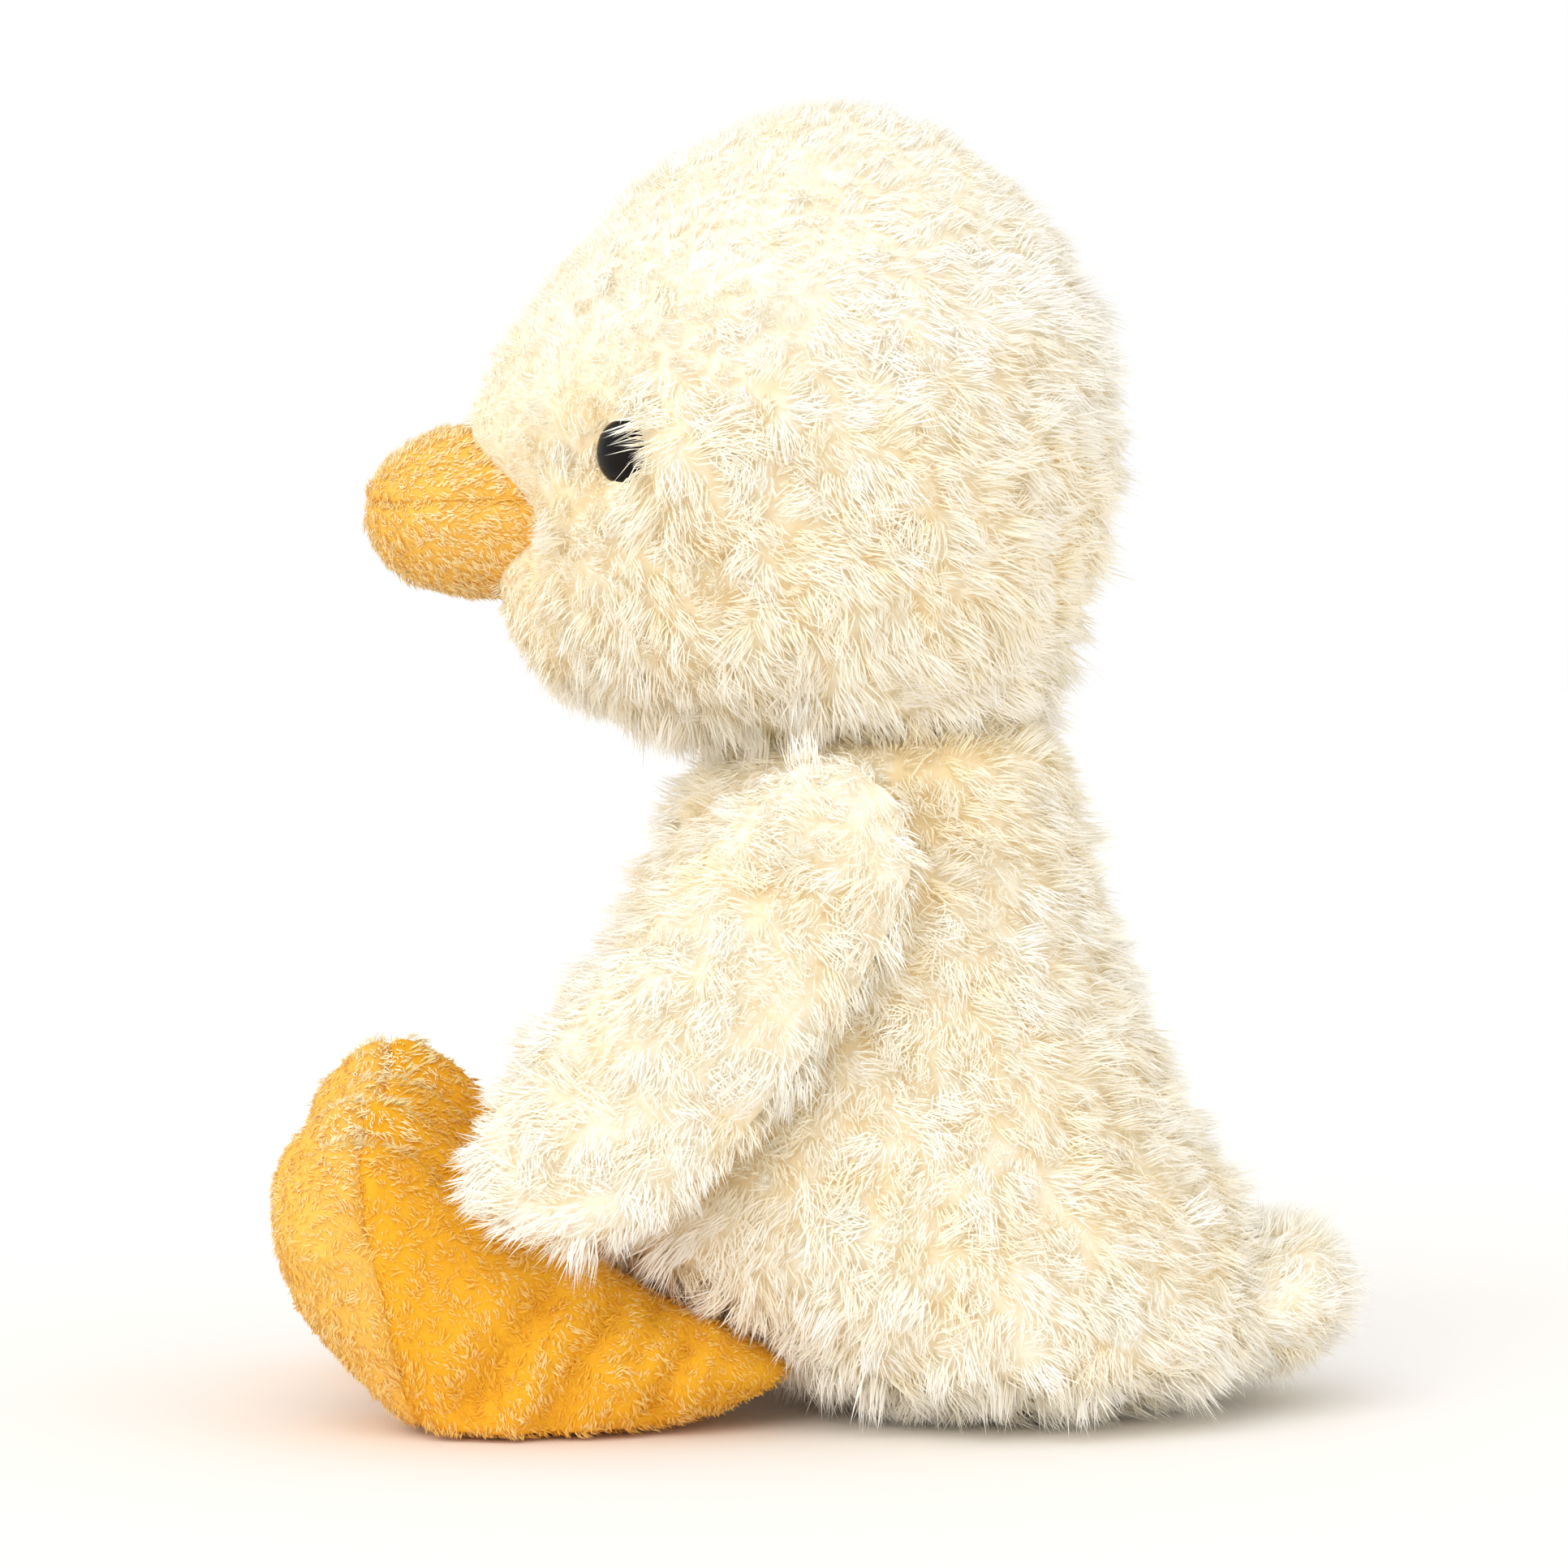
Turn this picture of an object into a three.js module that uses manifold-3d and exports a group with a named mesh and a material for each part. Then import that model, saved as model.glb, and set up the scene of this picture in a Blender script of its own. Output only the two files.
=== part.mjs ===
// A sitting plush chick, in millimetres. +Z is up, the toy looks along -Y and
// its left side is +X. The origin is on the ground, under the middle of the toy.
// Every stuffed part is a cover of sewn panels round its stuffing.
import * as THREE from 'three';
import { mergeVertices } from 'three/addons/utils/BufferGeometryUtils.js';
import Module from 'manifold-3d';

const wasm = await Module();
wasm.setup();

// Gaps between pieces
const seamGap = 0.3;
const neckGap = 0.8;
const wingToFootGap = 1;
const bagToCoverGap = 0.9;

// Covers: long fur on body and head, the same fur worn thinner on the wings, short nap on beak and feet
const furCover = 7;
const furBacking = 1.6;
const wingCover = 3.2;
const napCover = 2.4;
const basePanelThickness = 2.5;

// Body: one row for each level, with its front, its back and half its width
const bodyOutline = [
  { level: 0, front: -11, back: 61, halfWidth: 44 },
  { level: 10, front: -17, back: 68, halfWidth: 50 },
  { level: 18, front: -31, back: 69, halfWidth: 52 },
  { level: 27, front: -41, back: 66.5, halfWidth: 52.5 },
  { level: 40, front: -43, back: 59, halfWidth: 50 },
  { level: 58, front: -39, back: 50, halfWidth: 45 },
  { level: 76, front: -32.5, back: 43.5, halfWidth: 39.5 },
  { level: 92, front: -24, back: 39, halfWidth: 33.5 },
  { level: 104, front: -19, back: 37.5, halfWidth: 31.5 },
  { level: 124, front: -17, back: 35, halfWidth: 30 },
];
const bodySquareness = 2.2;

// Tail: a blunt stub that grows out of the low back
const tailOutline = [
  { level: 39, lift: 16, halfHeight: 15.5, halfWidth: 34 },
  { level: 63, lift: 16.5, halfHeight: 14.5, halfWidth: 30 },
  { level: 82.6, lift: 18.5, halfHeight: 12.5, halfWidth: 25 },
];
const tailRounding = 13;
const tailRoundness = 2.3;

// Neck: the head rocks on a ball of stuffing
const neckBack = 9;
const neckLevel = 87;
const neckRadius = 34.3;
const neckCutLevel = 90;

// Head
const crownLevel = 200.5;
const chinLevel = 96.5;
const headGirthLevel = 146;
const headHalfWidth = 50;
const headHalfDepth = 51.5;
const crownRoundness = 1.75;
const jawRoundness = 2.6;
const headCentreLine = [
  { level: chinLevel, centre: 5 },
  { level: 112, centre: -5.5 },
  { level: headGirthLevel, centre: -6.2 },
  { level: 178, centre: -1.6 },
  { level: crownLevel, centre: -0.5 },
];

// Beak
const beakLevel = 137.3;
const beakLength = 21.2;
const beakHalfWidth = 15.5;
const beakHalfHeight = 13.4;
const beakRounding = 18;
const beakRoundness = 1.75;
const beakSeamRise = 0.8;

// Eyes: a domed button on a shank, held inside by a washer
const eyeLevel = 145;
const eyeTurnOnHead = 33;
const eyeFacing = 44;
const eyeRadius = 5;
const eyeDome = 3.9;
const eyeRim = 0.9;
const eyeDimpleRadius = 6.6;
const shankRadius = 1.7;
const shankLength = 5.6;
const washerRadius = 5.8;
const washerThickness = 1.2;
const washerPocketDepth = 2.4;

// Wings: rows run from the shoulder to the tip, along a line that slopes forward and down
const wingSlope = 49.4;
const wingRootBack = 5;
const wingRootLevel = 101;
const wingOutline = [
  { level: 0, side: 36.5, offset: -3.5, halfBreadth: 13.5, halfThickness: 4.8 },
  { level: 25, side: 44.5, offset: -5.6, halfBreadth: 17.3, halfThickness: 7.4 },
  { level: 45, side: 50, offset: -6.7, halfBreadth: 17.3, halfThickness: 8 },
  { level: 60, side: 53.5, offset: -6.6, halfBreadth: 17.2, halfThickness: 7.8 },
  { level: 76, side: 56, offset: -4.6, halfBreadth: 15.8, halfThickness: 7 },
  { level: 88, side: 57, offset: -2, halfBreadth: 13, halfThickness: 6 },
];
const wingShoulderRounding = 14;
const wingTipRounding = 21;
const wingTipRoundness = 2.2;

// Legs: each is a short leg and a webbed foot in one, with the sole facing forward
const legSpacing = 28;
const footOutline = [
  { level: 0, front: -63, back: -25, halfWidth: 15 },
  { level: 4, front: -68.5, back: -13, halfWidth: 17 },
  { level: 9, front: -73.5, back: -6.5, halfWidth: 18.5 },
  { level: 15, front: -78.2, back: -14, halfWidth: 20 },
  { level: 21, front: -81.6, back: -28, halfWidth: 21 },
  { level: 28, front: -84, back: -40, halfWidth: 21.8 },
  { level: 35, front: -84.6, back: -47.5, halfWidth: 22 },
  { level: 42, front: -83, back: -54, halfWidth: 21.5 },
  { level: 51, front: -77.5, back: -62.5, halfWidth: 21 },
];
const toeRounding = 9;
const toeRoundness = 2.6;
const footSquareness = 2.5;
const footTaper = 0.24;
const toeGroove = 4;
const toeRootShare = 0.45;
const outerToeDrop = 4.6;
const toeSpacing = 14.6;
const soleSeamHeel = -61;
const soleSeamToe = -70.5;
const hipBack = -7;
const hipLevel = 8;
const legRaise = 6;

// Weighted bag that keeps the toy sitting
const beanBagBack = 23;
const beanBagHalfWidth = 33;
const beanBagHalfDepth = 35;
const beanBagTop = 25;
const beanBagRounding = 11;

// Fineness of the solids
const coverAround = 20;
const coverRings = 10;
const coreAround = 12;
const coreRings = 7;
const limbCoreAround = 8;
const limbCoreRings = 6;
const ballAround = 24;
const roundSteps = 14;
const reach = 400;
// An inset never takes a ring under this share of its size
const leastShare = 0.2;

const degrees = Math.PI / 180;
const alongX = new THREE.Vector3(1, 0, 0);
const alongY = new THREE.Vector3(0, 1, 0);
const alongZ = new THREE.Vector3(0, 0, 1);

const furCream = { color: 0xf3e8cf, roughness: 0.95, metalness: 0 };
const wingCream = { color: 0xf7eedb, roughness: 0.95, metalness: 0 };
const beakOrange = { color: 0xf5bd59, roughness: 0.9, metalness: 0 };
const footOrange = { color: 0xf3b140, roughness: 0.9, metalness: 0 };
const soleOrange = { color: 0xf5c56c, roughness: 0.9, metalness: 0 };
const glossBlack = { color: 0x0b0a0a, roughness: 0.08, metalness: 0 };
const washerWhite = { color: 0xe9e7e2, roughness: 0.5, metalness: 0 };
const fibreWhite = { color: 0xfaf9f6, roughness: 1, metalness: 0 };
const pelletBag = { color: 0xdfd8ca, roughness: 0.9, metalness: 0 };

// A measure of an outline at any level, smooth through the rows
function measureAt(outline, measure, level) {
  const last = outline.length - 1;
  let row = 0;
  while (row < last - 1 && level > outline[row + 1].level) row += 1;
  const before = outline[Math.max(row - 1, 0)];
  const low = outline[row];
  const high = outline[row + 1];
  const after = outline[Math.min(row + 2, last)];
  const span = high.level - low.level;
  const lowSlope = (high[measure] - before[measure]) / (high.level - before.level);
  const highSlope = (after[measure] - low[measure]) / (after.level - low.level);
  const t = THREE.MathUtils.clamp((level - low.level) / span, 0, 1);
  const eased = t * t * (3 - 2 * t);
  return low[measure] * (1 - eased) + high[measure] * eased
    + span * (t * (1 - t) ** 2 * lowSlope - t * t * (1 - t) * highSlope);
}

// How far a round end has opened at a distance from its pole
function opening(distance, length, roundness) {
  if (distance >= length) return 1;
  return (1 - (1 - Math.max(distance, 0) / length) ** roundness) ** (1 / roundness);
}

// A stuffed form: oval rings along a direction, closed by round or flat ends.
// inset draws the whole surface in by that much, or out if it is negative.
function swell(form, inset = 0, around = coverAround, rings = coverRings) {
  const { origin, across, upward, forward, start, end } = form;
  const startRound = form.startRound ?? { length: 0, roundness: 2 };
  const endRound = form.endRound ?? { length: 0, roundness: 2 };
  const squareness = form.squareness ?? 2;
  const taper = form.taper ?? 0;
  const opened = (level) => opening(level - start, startRound.length, startRound.roundness)
    * opening(end - level, endRound.length, endRound.roundness);
  const meanRadius = (level) => {
    const section = form.section(level);
    return opened(level) * (section.halfAcross + section.halfUpward) / 2;
  };
  const points = [];
  const addPoint = (level, acrossPlace, upwardPlace) => {
    const point = origin.clone().addScaledVector(forward, level);
    point.addScaledVector(across, acrossPlace).addScaledVector(upward, upwardPlace);
    if (form.shape) form.shape(point);
    points.push(point);
  };
  const first = startRound.length > 0 ? 1 : 0;
  const last = endRound.length > 0 ? rings - 1 : rings;
  const startCentre = form.section(start);
  const startLevel = startRound.length > 0 ? start + inset : start;
  addPoint(startLevel, startCentre.acrossCentre, startCentre.upwardCentre);
  for (let ring = first; ring <= last; ring += 1) {
    const level = start + (end - start) * (1 - Math.cos(Math.PI * ring / rings)) / 2;
    const step = (end - start) / 2000;
    const low = Math.max(level - step, start);
    const high = Math.min(level + step, end);
    const slope = (meanRadius(high) - meanRadius(low)) / (high - low);
    const steep = Math.hypot(1, slope);
    const section = form.section(level);
    const flat = (ring === 0 || ring === rings);
    const place = flat ? level : level + inset * slope / steep;
    const narrowed = (half) => Math.max(half - inset / steep, leastShare * half);
    const halfAcross = narrowed(section.halfAcross * opened(level));
    const halfUpward = narrowed(section.halfUpward * opened(level));
    for (let i = 0; i < around; i += 1) {
      const angle = 2 * Math.PI * i / around;
      const cos = Math.sign(Math.cos(angle)) * Math.abs(Math.cos(angle)) ** (2 / squareness);
      const sin = Math.sign(Math.sin(angle)) * Math.abs(Math.sin(angle)) ** (2 / squareness);
      const acrossPlace = section.acrossCentre + halfAcross * cos * (1 - taper * sin);
      addPoint(place, acrossPlace, section.upwardCentre + halfUpward * sin);
    }
  }
  const endCentre = form.section(end);
  const endLevel = endRound.length > 0 ? end - inset : end;
  addPoint(endLevel, endCentre.acrossCentre, endCentre.upwardCentre);
  const faces = [];
  const ringCount = last - first + 1;
  const corner = (ring, i) => 1 + ring * around + i % around;
  const tip = points.length - 1;
  for (let i = 0; i < around; i += 1) {
    faces.push(0, corner(0, i + 1), corner(0, i));
    // The diagonals mirror across the middle, so both sides of the toy match
    const onPlusSide = Math.cos(2 * Math.PI * (i + 0.5) / around) > 0;
    for (let ring = 0; ring < ringCount - 1; ring += 1) {
      const [a, b] = [corner(ring, i), corner(ring, i + 1)];
      const [c, d] = [corner(ring + 1, i + 1), corner(ring + 1, i)];
      faces.push(...(onPlusSide ? [a, b, c, a, c, d] : [a, b, d, b, c, d]));
    }
    faces.push(tip, corner(ringCount - 1, i), corner(ringCount - 1, i + 1));
  }
  const geometry = new THREE.BufferGeometry().setFromPoints(points);
  geometry.setIndex(faces);
  return geometry;
}

const core = (form, inset) => swell(form, inset, coreAround, coreRings);
const limbCore = (form, inset) => swell(form, inset, limbCoreAround, limbCoreRings);

function solid(geometry) {
  const bare = geometry.clone();
  bare.deleteAttribute('normal');
  bare.deleteAttribute('uv');
  const merged = mergeVertices(bare, 1e-4);
  return new wasm.Manifold(new wasm.Mesh({
    numProp: 3,
    vertProperties: new Float32Array(merged.attributes.position.array),
    triVerts: new Uint32Array(merged.index.array),
  }));
}

function geometryOf(body) {
  const mesh = body.getMesh();
  const geometry = new THREE.BufferGeometry();
  geometry.setAttribute('position', new THREE.BufferAttribute(mesh.vertProperties, 3));
  geometry.setIndex(new THREE.BufferAttribute(mesh.triVerts, 1));
  return geometry;
}

// The same shape on the toy's right side
function mirrored(geometry) {
  const copy = geometry.clone().scale(-1, 1, 1);
  const index = copy.index.array;
  for (let i = 0; i < index.length; i += 3) {
    const kept = index[i];
    index[i] = index[i + 1];
    index[i + 1] = kept;
  }
  return copy;
}

function block(low, high) {
  const size = new THREE.Vector3().subVectors(high, low);
  const middle = new THREE.Vector3().addVectors(low, high).multiplyScalar(0.5);
  return solid(new THREE.BoxGeometry(size.x, size.y, size.z).translate(middle.x, middle.y, middle.z));
}

const above = (level) => block(
  new THREE.Vector3(-reach, -reach, level),
  new THREE.Vector3(reach, reach, level + reach),
);
const below = (level) => block(
  new THREE.Vector3(-reach, -reach, level - reach),
  new THREE.Vector3(reach, reach, level),
);
const leftHalf = block(
  new THREE.Vector3(seamGap / 2, -reach, -reach),
  new THREE.Vector3(reach, reach, reach),
);

// A large block on the +side of a plane through a point
function beyond(point, side) {
  const cut = new THREE.BoxGeometry(reach, reach, reach).translate(0, 0, reach / 2);
  const turn = new THREE.Quaternion().setFromUnitVectors(alongZ, side.clone().normalize());
  return solid(cut.applyQuaternion(turn).translate(point.x, point.y, point.z));
}

// A turned shape whose +Y axis points along a direction from a point
function turned(profile, point, direction) {
  const lathe = new THREE.LatheGeometry(profile.map(([x, y]) => new THREE.Vector2(x, y)), roundSteps);
  const turn = new THREE.Quaternion().setFromUnitVectors(alongY, direction);
  return solid(lathe.applyQuaternion(turn).translate(point.x, point.y, point.z));
}

const rod = (radius, low, high, point, direction) => turned(
  [[0, low], [radius, low], [radius, high], [0, high]],
  point,
  direction,
);

const group = new THREE.Group();

function addPiece(name, geometry, finish) {
  geometry.computeVertexNormals();
  const mesh = new THREE.Mesh(geometry, new THREE.MeshStandardMaterial(finish));
  mesh.name = name;
  group.add(mesh);
}

function addPair(name, body, finish) {
  const geometry = geometryOf(body);
  addPiece(`${name}_left`, geometry, finish);
  addPiece(`${name}_right`, mirrored(geometry), finish);
}

const bodyForm = {
  origin: new THREE.Vector3(),
  across: alongX,
  upward: alongY,
  forward: alongZ,
  start: bodyOutline[0].level,
  end: bodyOutline.at(-1).level,
  squareness: bodySquareness,
  section: (level) => {
    const front = measureAt(bodyOutline, 'front', level);
    const back = measureAt(bodyOutline, 'back', level);
    return {
      acrossCentre: 0,
      upwardCentre: (front + back) / 2,
      halfAcross: measureAt(bodyOutline, 'halfWidth', level),
      halfUpward: (back - front) / 2,
    };
  },
};

const tailForm = {
  origin: new THREE.Vector3(),
  across: alongX,
  upward: alongZ.clone().negate(),
  forward: alongY,
  start: tailOutline[0].level,
  end: tailOutline.at(-1).level,
  endRound: { length: tailRounding, roundness: tailRoundness },
  section: (level) => ({
    acrossCentre: 0,
    upwardCentre: -measureAt(tailOutline, 'lift', level),
    halfAcross: measureAt(tailOutline, 'halfWidth', level),
    halfUpward: measureAt(tailOutline, 'halfHeight', level),
  }),
};

const headForm = {
  origin: new THREE.Vector3(),
  across: alongX,
  upward: alongY,
  forward: alongZ,
  start: chinLevel,
  end: crownLevel,
  startRound: { length: headGirthLevel - chinLevel, roundness: jawRoundness },
  endRound: { length: crownLevel - headGirthLevel, roundness: crownRoundness },
  section: (level) => ({
    acrossCentre: 0,
    upwardCentre: measureAt(headCentreLine, 'centre', level),
    halfAcross: headHalfWidth,
    halfUpward: headHalfDepth,
  }),
};

const beakForm = {
  origin: new THREE.Vector3(0, 0, beakLevel),
  across: alongX,
  upward: alongZ,
  forward: alongY.clone().negate(),
  start: headHalfDepth - furCover,
  end: headHalfDepth + beakLength,
  endRound: { length: beakRounding, roundness: beakRoundness },
  section: () => ({
    acrossCentre: 0,
    upwardCentre: 0,
    halfAcross: beakHalfWidth,
    halfUpward: beakHalfHeight,
  }),
};

const wingForward = new THREE.Vector3(0, -Math.cos(wingSlope * degrees), -Math.sin(wingSlope * degrees));
const wingForm = {
  origin: new THREE.Vector3(0, wingRootBack, wingRootLevel),
  across: alongX,
  upward: new THREE.Vector3().crossVectors(wingForward, alongX),
  forward: wingForward,
  start: wingOutline[0].level,
  end: wingOutline.at(-1).level,
  startRound: { length: wingShoulderRounding, roundness: 2 },
  endRound: { length: wingTipRounding, roundness: wingTipRoundness },
  section: (level) => ({
    acrossCentre: measureAt(wingOutline, 'side', level),
    upwardCentre: measureAt(wingOutline, 'offset', level),
    halfAcross: measureAt(wingOutline, 'halfThickness', level),
    halfUpward: measureAt(wingOutline, 'halfBreadth', level),
  }),
};

// Draws the foot's top edge down between and beside the three toes
function shapeToes(point) {
  const toes = (point.x - legSpacing) / toeSpacing;
  const height = footOutline.at(-1).level;
  const drop = toeGroove * (1 - Math.cos(2 * Math.PI * toes)) / 2 + outerToeDrop * toes * toes;
  point.z -= drop * THREE.MathUtils.smoothstep(point.z, toeRootShare * height, height);
}

const footForm = {
  origin: new THREE.Vector3(legSpacing, 0, 0),
  across: alongX,
  upward: alongY,
  forward: alongZ,
  start: footOutline[0].level,
  end: footOutline.at(-1).level,
  endRound: { length: toeRounding, roundness: toeRoundness },
  squareness: footSquareness,
  taper: footTaper,
  shape: shapeToes,
  section: (level) => {
    const front = measureAt(footOutline, 'front', level);
    const back = measureAt(footOutline, 'back', level);
    return {
      acrossCentre: 0,
      upwardCentre: (front + back) / 2,
      halfAcross: measureAt(footOutline, 'halfWidth', level),
      halfUpward: (back - front) / 2,
    };
  },
};

const beanBagForm = {
  origin: new THREE.Vector3(0, beanBagBack, 0),
  across: alongX,
  upward: alongY,
  forward: alongZ,
  start: basePanelThickness - beanBagRounding / 2,
  end: beanBagTop,
  startRound: { length: beanBagRounding, roundness: 2 },
  endRound: { length: beanBagRounding, roundness: 2 },
  section: () => ({
    acrossCentre: 0,
    upwardCentre: 0,
    halfAcross: beanBagHalfWidth,
    halfUpward: beanBagHalfDepth,
  }),
};

const neckBall = (radius) => solid(
  new THREE.SphereGeometry(radius, ballAround, ballAround / 2).translate(0, neckBack, neckLevel),
);
const outsideNeck = above(neckCutLevel).subtract(neckBall(neckRadius));
const neckSocket = neckBall(neckRadius + neckGap);

// Body and tail as one form, with the neck's ball on top
function bodySolid(shape, inset) {
  return solid(shape(bodyForm, inset)).add(solid(shape(tailForm, inset))).subtract(below(0));
}

function makeBody() {
  const stuffed = bodySolid(core, furCover + seamGap).subtract(outsideNeck);
  const cover = bodySolid(swell, 0).subtract(outsideNeck).subtract(bodySolid(core, furCover));
  addPair('body_side', cover.intersect(leftHalf), furCream);
  const panelTop = below(basePanelThickness);
  addPiece('base_panel', geometryOf(stuffed.intersect(panelTop)), furCream);
  const floorOfStuffing = basePanelThickness + seamGap;
  const roomForBag = solid(core(bodyForm, furCover + bagToCoverGap));
  const bag = solid(core(beanBagForm, 0)).intersect(roomForBag).subtract(below(floorOfStuffing));
  addPiece('bean_bag', geometryOf(bag), pelletBag);
  const bagPocket = solid(core(beanBagForm, -seamGap));
  const stuffing = stuffed.subtract(below(floorOfStuffing)).subtract(bagPocket);
  addPiece('body_stuffing', geometryOf(stuffing), fibreWhite);
}

// The eye sits on the backing, at the bottom of a dimple in the fur
function eyePlace() {
  const turn = eyeTurnOnHead * degrees;
  const section = headForm.section(eyeLevel);
  const sunk = furCover - furBacking;
  return new THREE.Vector3(
    (headHalfWidth - sunk) * Math.cos(turn),
    section.upwardCentre - (headHalfDepth - sunk) * Math.sin(turn),
    eyeLevel,
  );
}

function makeHead() {
  const place = eyePlace();
  const facing = new THREE.Vector3(Math.cos(eyeFacing * degrees), -Math.sin(eyeFacing * degrees), 0);
  const washerTop = -furBacking - seamGap;
  const washerBottom = washerTop - washerThickness;
  const shankHole = shankRadius + seamGap;
  const throughCover = 2 * furCover;

  const backing = solid(core(headForm, furCover - furBacking));
  const beakSeat = solid(swell(beakForm, -seamGap, coverAround, coreRings)).subtract(backing);
  const dimple = rod(eyeDimpleRadius, 0, throughCover, place, facing);
  const washerSeat = rod(washerRadius + seamGap, -throughCover, -furBacking, place, facing);
  const cover = solid(swell(headForm)).subtract(solid(core(headForm, furCover)))
    .subtract(neckSocket)
    .subtract(beakSeat)
    .subtract(dimple)
    .subtract(washerSeat)
    .subtract(rod(shankHole, -throughCover, furCover, place, facing));
  addPair('head_side', cover.intersect(leftHalf), furCream);

  const pocketBottom = Math.min(washerBottom, seamGap - shankLength) - seamGap - washerPocketDepth;
  const washerPocket = rod(washerRadius + seamGap, pocketBottom, furCover, place, facing);
  const pocketPair = washerPocket.add(solid(mirrored(geometryOf(washerPocket))));
  const stuffing = solid(core(headForm, furCover + seamGap)).subtract(neckSocket).subtract(pocketPair);
  addPiece('head_stuffing', geometryOf(stuffing), fibreWhite);

  const domeSteps = 7;
  const profile = [[0, seamGap - shankLength], [shankRadius, seamGap - shankLength]];
  profile.push([shankRadius, seamGap], [eyeRadius, seamGap]);
  for (let step = 0; step < domeSteps; step += 1) {
    const rise = 0.5 * Math.PI * step / domeSteps;
    profile.push([eyeRadius * Math.cos(rise), seamGap + eyeRim + eyeDome * Math.sin(rise)]);
  }
  profile.push([0, seamGap + eyeRim + eyeDome]);
  addPair('eye', turned(profile, place, facing), glossBlack);

  const washer = rod(washerRadius, washerBottom, washerTop, place, facing)
    .subtract(rod(shankHole, -throughCover, furCover, place, facing));
  addPair('eye_washer', washer, washerWhite);
}

function makeBeak() {
  const seat = solid(core(headForm, furCover - furBacking - seamGap));
  const beakCore = (inset) => swell(beakForm, inset, coreAround, coreRings);
  const cover = solid(swell(beakForm, 0, coverAround, coreRings))
    .subtract(solid(beakCore(napCover)))
    .subtract(seat);
  const seam = beakLevel + beakSeamRise;
  addPiece('beak_upper', geometryOf(cover.intersect(above(seam + seamGap / 2))), beakOrange);
  addPiece('beak_lower', geometryOf(cover.intersect(below(seam - seamGap / 2))), beakOrange);
  const stuffing = solid(beakCore(napCover + seamGap)).subtract(seat);
  addPiece('beak_stuffing', geometryOf(stuffing), fibreWhite);
}

function makeWings() {
  const roomInside = solid(swell(bodyForm, -seamGap));
  const roomBelow = solid(swell(footForm, -wingToFootGap));
  const free = (body) => body.subtract(roomInside).subtract(roomBelow);
  const cover = free(solid(swell(wingForm))).subtract(solid(limbCore(wingForm, wingCover)));
  const shoulder = wingForm.section(wingForm.start).acrossCentre;
  const tip = wingForm.section(wingForm.end).acrossCentre;
  const flare = Math.atan2(tip - shoulder, wingForm.end - wingForm.start);
  const outward = alongX.clone().multiplyScalar(Math.cos(flare))
    .addScaledVector(wingForward, -Math.sin(flare));
  const middle = (wingForm.start + wingForm.end) / 2;
  const seamMiddle = wingForm.origin.clone().addScaledVector(wingForward, middle);
  seamMiddle.x = wingForm.section(middle).acrossCentre;
  const outerSide = seamMiddle.clone().addScaledVector(outward, seamGap / 2);
  const innerSide = seamMiddle.clone().addScaledVector(outward, -seamGap / 2);
  addPair('wing_outer', cover.intersect(beyond(outerSide, outward)), wingCream);
  addPair('wing_inner', cover.intersect(beyond(innerSide, outward.clone().negate())), furCream);
  const thinner = (extra) => solid(swell(bodyForm, -wingCover - extra));
  const stuffing = solid(limbCore(wingForm, wingCover + seamGap)).subtract(thinner(seamGap));
  addPair('wing_stuffing', stuffing, fibreWhite);
}

function makeLegs() {
  const hip = new THREE.Vector3(0, hipBack, hipLevel);
  const bodyTurnedBy = (turn, inset) => {
    const geometry = swell(bodyForm, inset).translate(-hip.x, -hip.y, -hip.z);
    geometry.rotateX(turn * degrees).translate(hip.x, hip.y, hip.z);
    return solid(geometry);
  };
  // Room for the leg to rise under the belly
  const clearOfBody = (body) => body
    .subtract(bodyTurnedBy(0, -seamGap))
    .subtract(bodyTurnedBy(legRaise, -seamGap));
  const hollow = solid(limbCore(footForm, napCover)).subtract(below(napCover));
  const cover = clearOfBody(solid(swell(footForm))).intersect(leftHalf).subtract(hollow);
  const toe = new THREE.Vector3(0, soleSeamToe, footOutline.at(-1).level);
  const heel = new THREE.Vector3(0, soleSeamHeel, footOutline[0].level);
  const backward = new THREE.Vector3().crossVectors(alongX, toe.clone().sub(heel)).normalize().negate();
  const behind = heel.clone().addScaledVector(backward, seamGap / 2);
  const ahead = heel.clone().addScaledVector(backward, -seamGap / 2);
  addPair('foot_upper', cover.intersect(beyond(behind, backward)), footOrange);
  addPair('foot_sole', cover.intersect(beyond(ahead, backward.clone().negate())), soleOrange);
  const stuffing = clearOfBody(solid(limbCore(footForm, napCover + seamGap)))
    .subtract(below(napCover + seamGap));
  addPair('foot_stuffing', stuffing, fibreWhite);
}

makeBody();
makeHead();
makeBeak();
makeWings();
makeLegs();

export default group;
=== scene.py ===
import math

import bmesh
import bpy
import numpy as np
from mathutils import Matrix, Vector, noise
from mathutils.kdtree import KDTree


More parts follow.
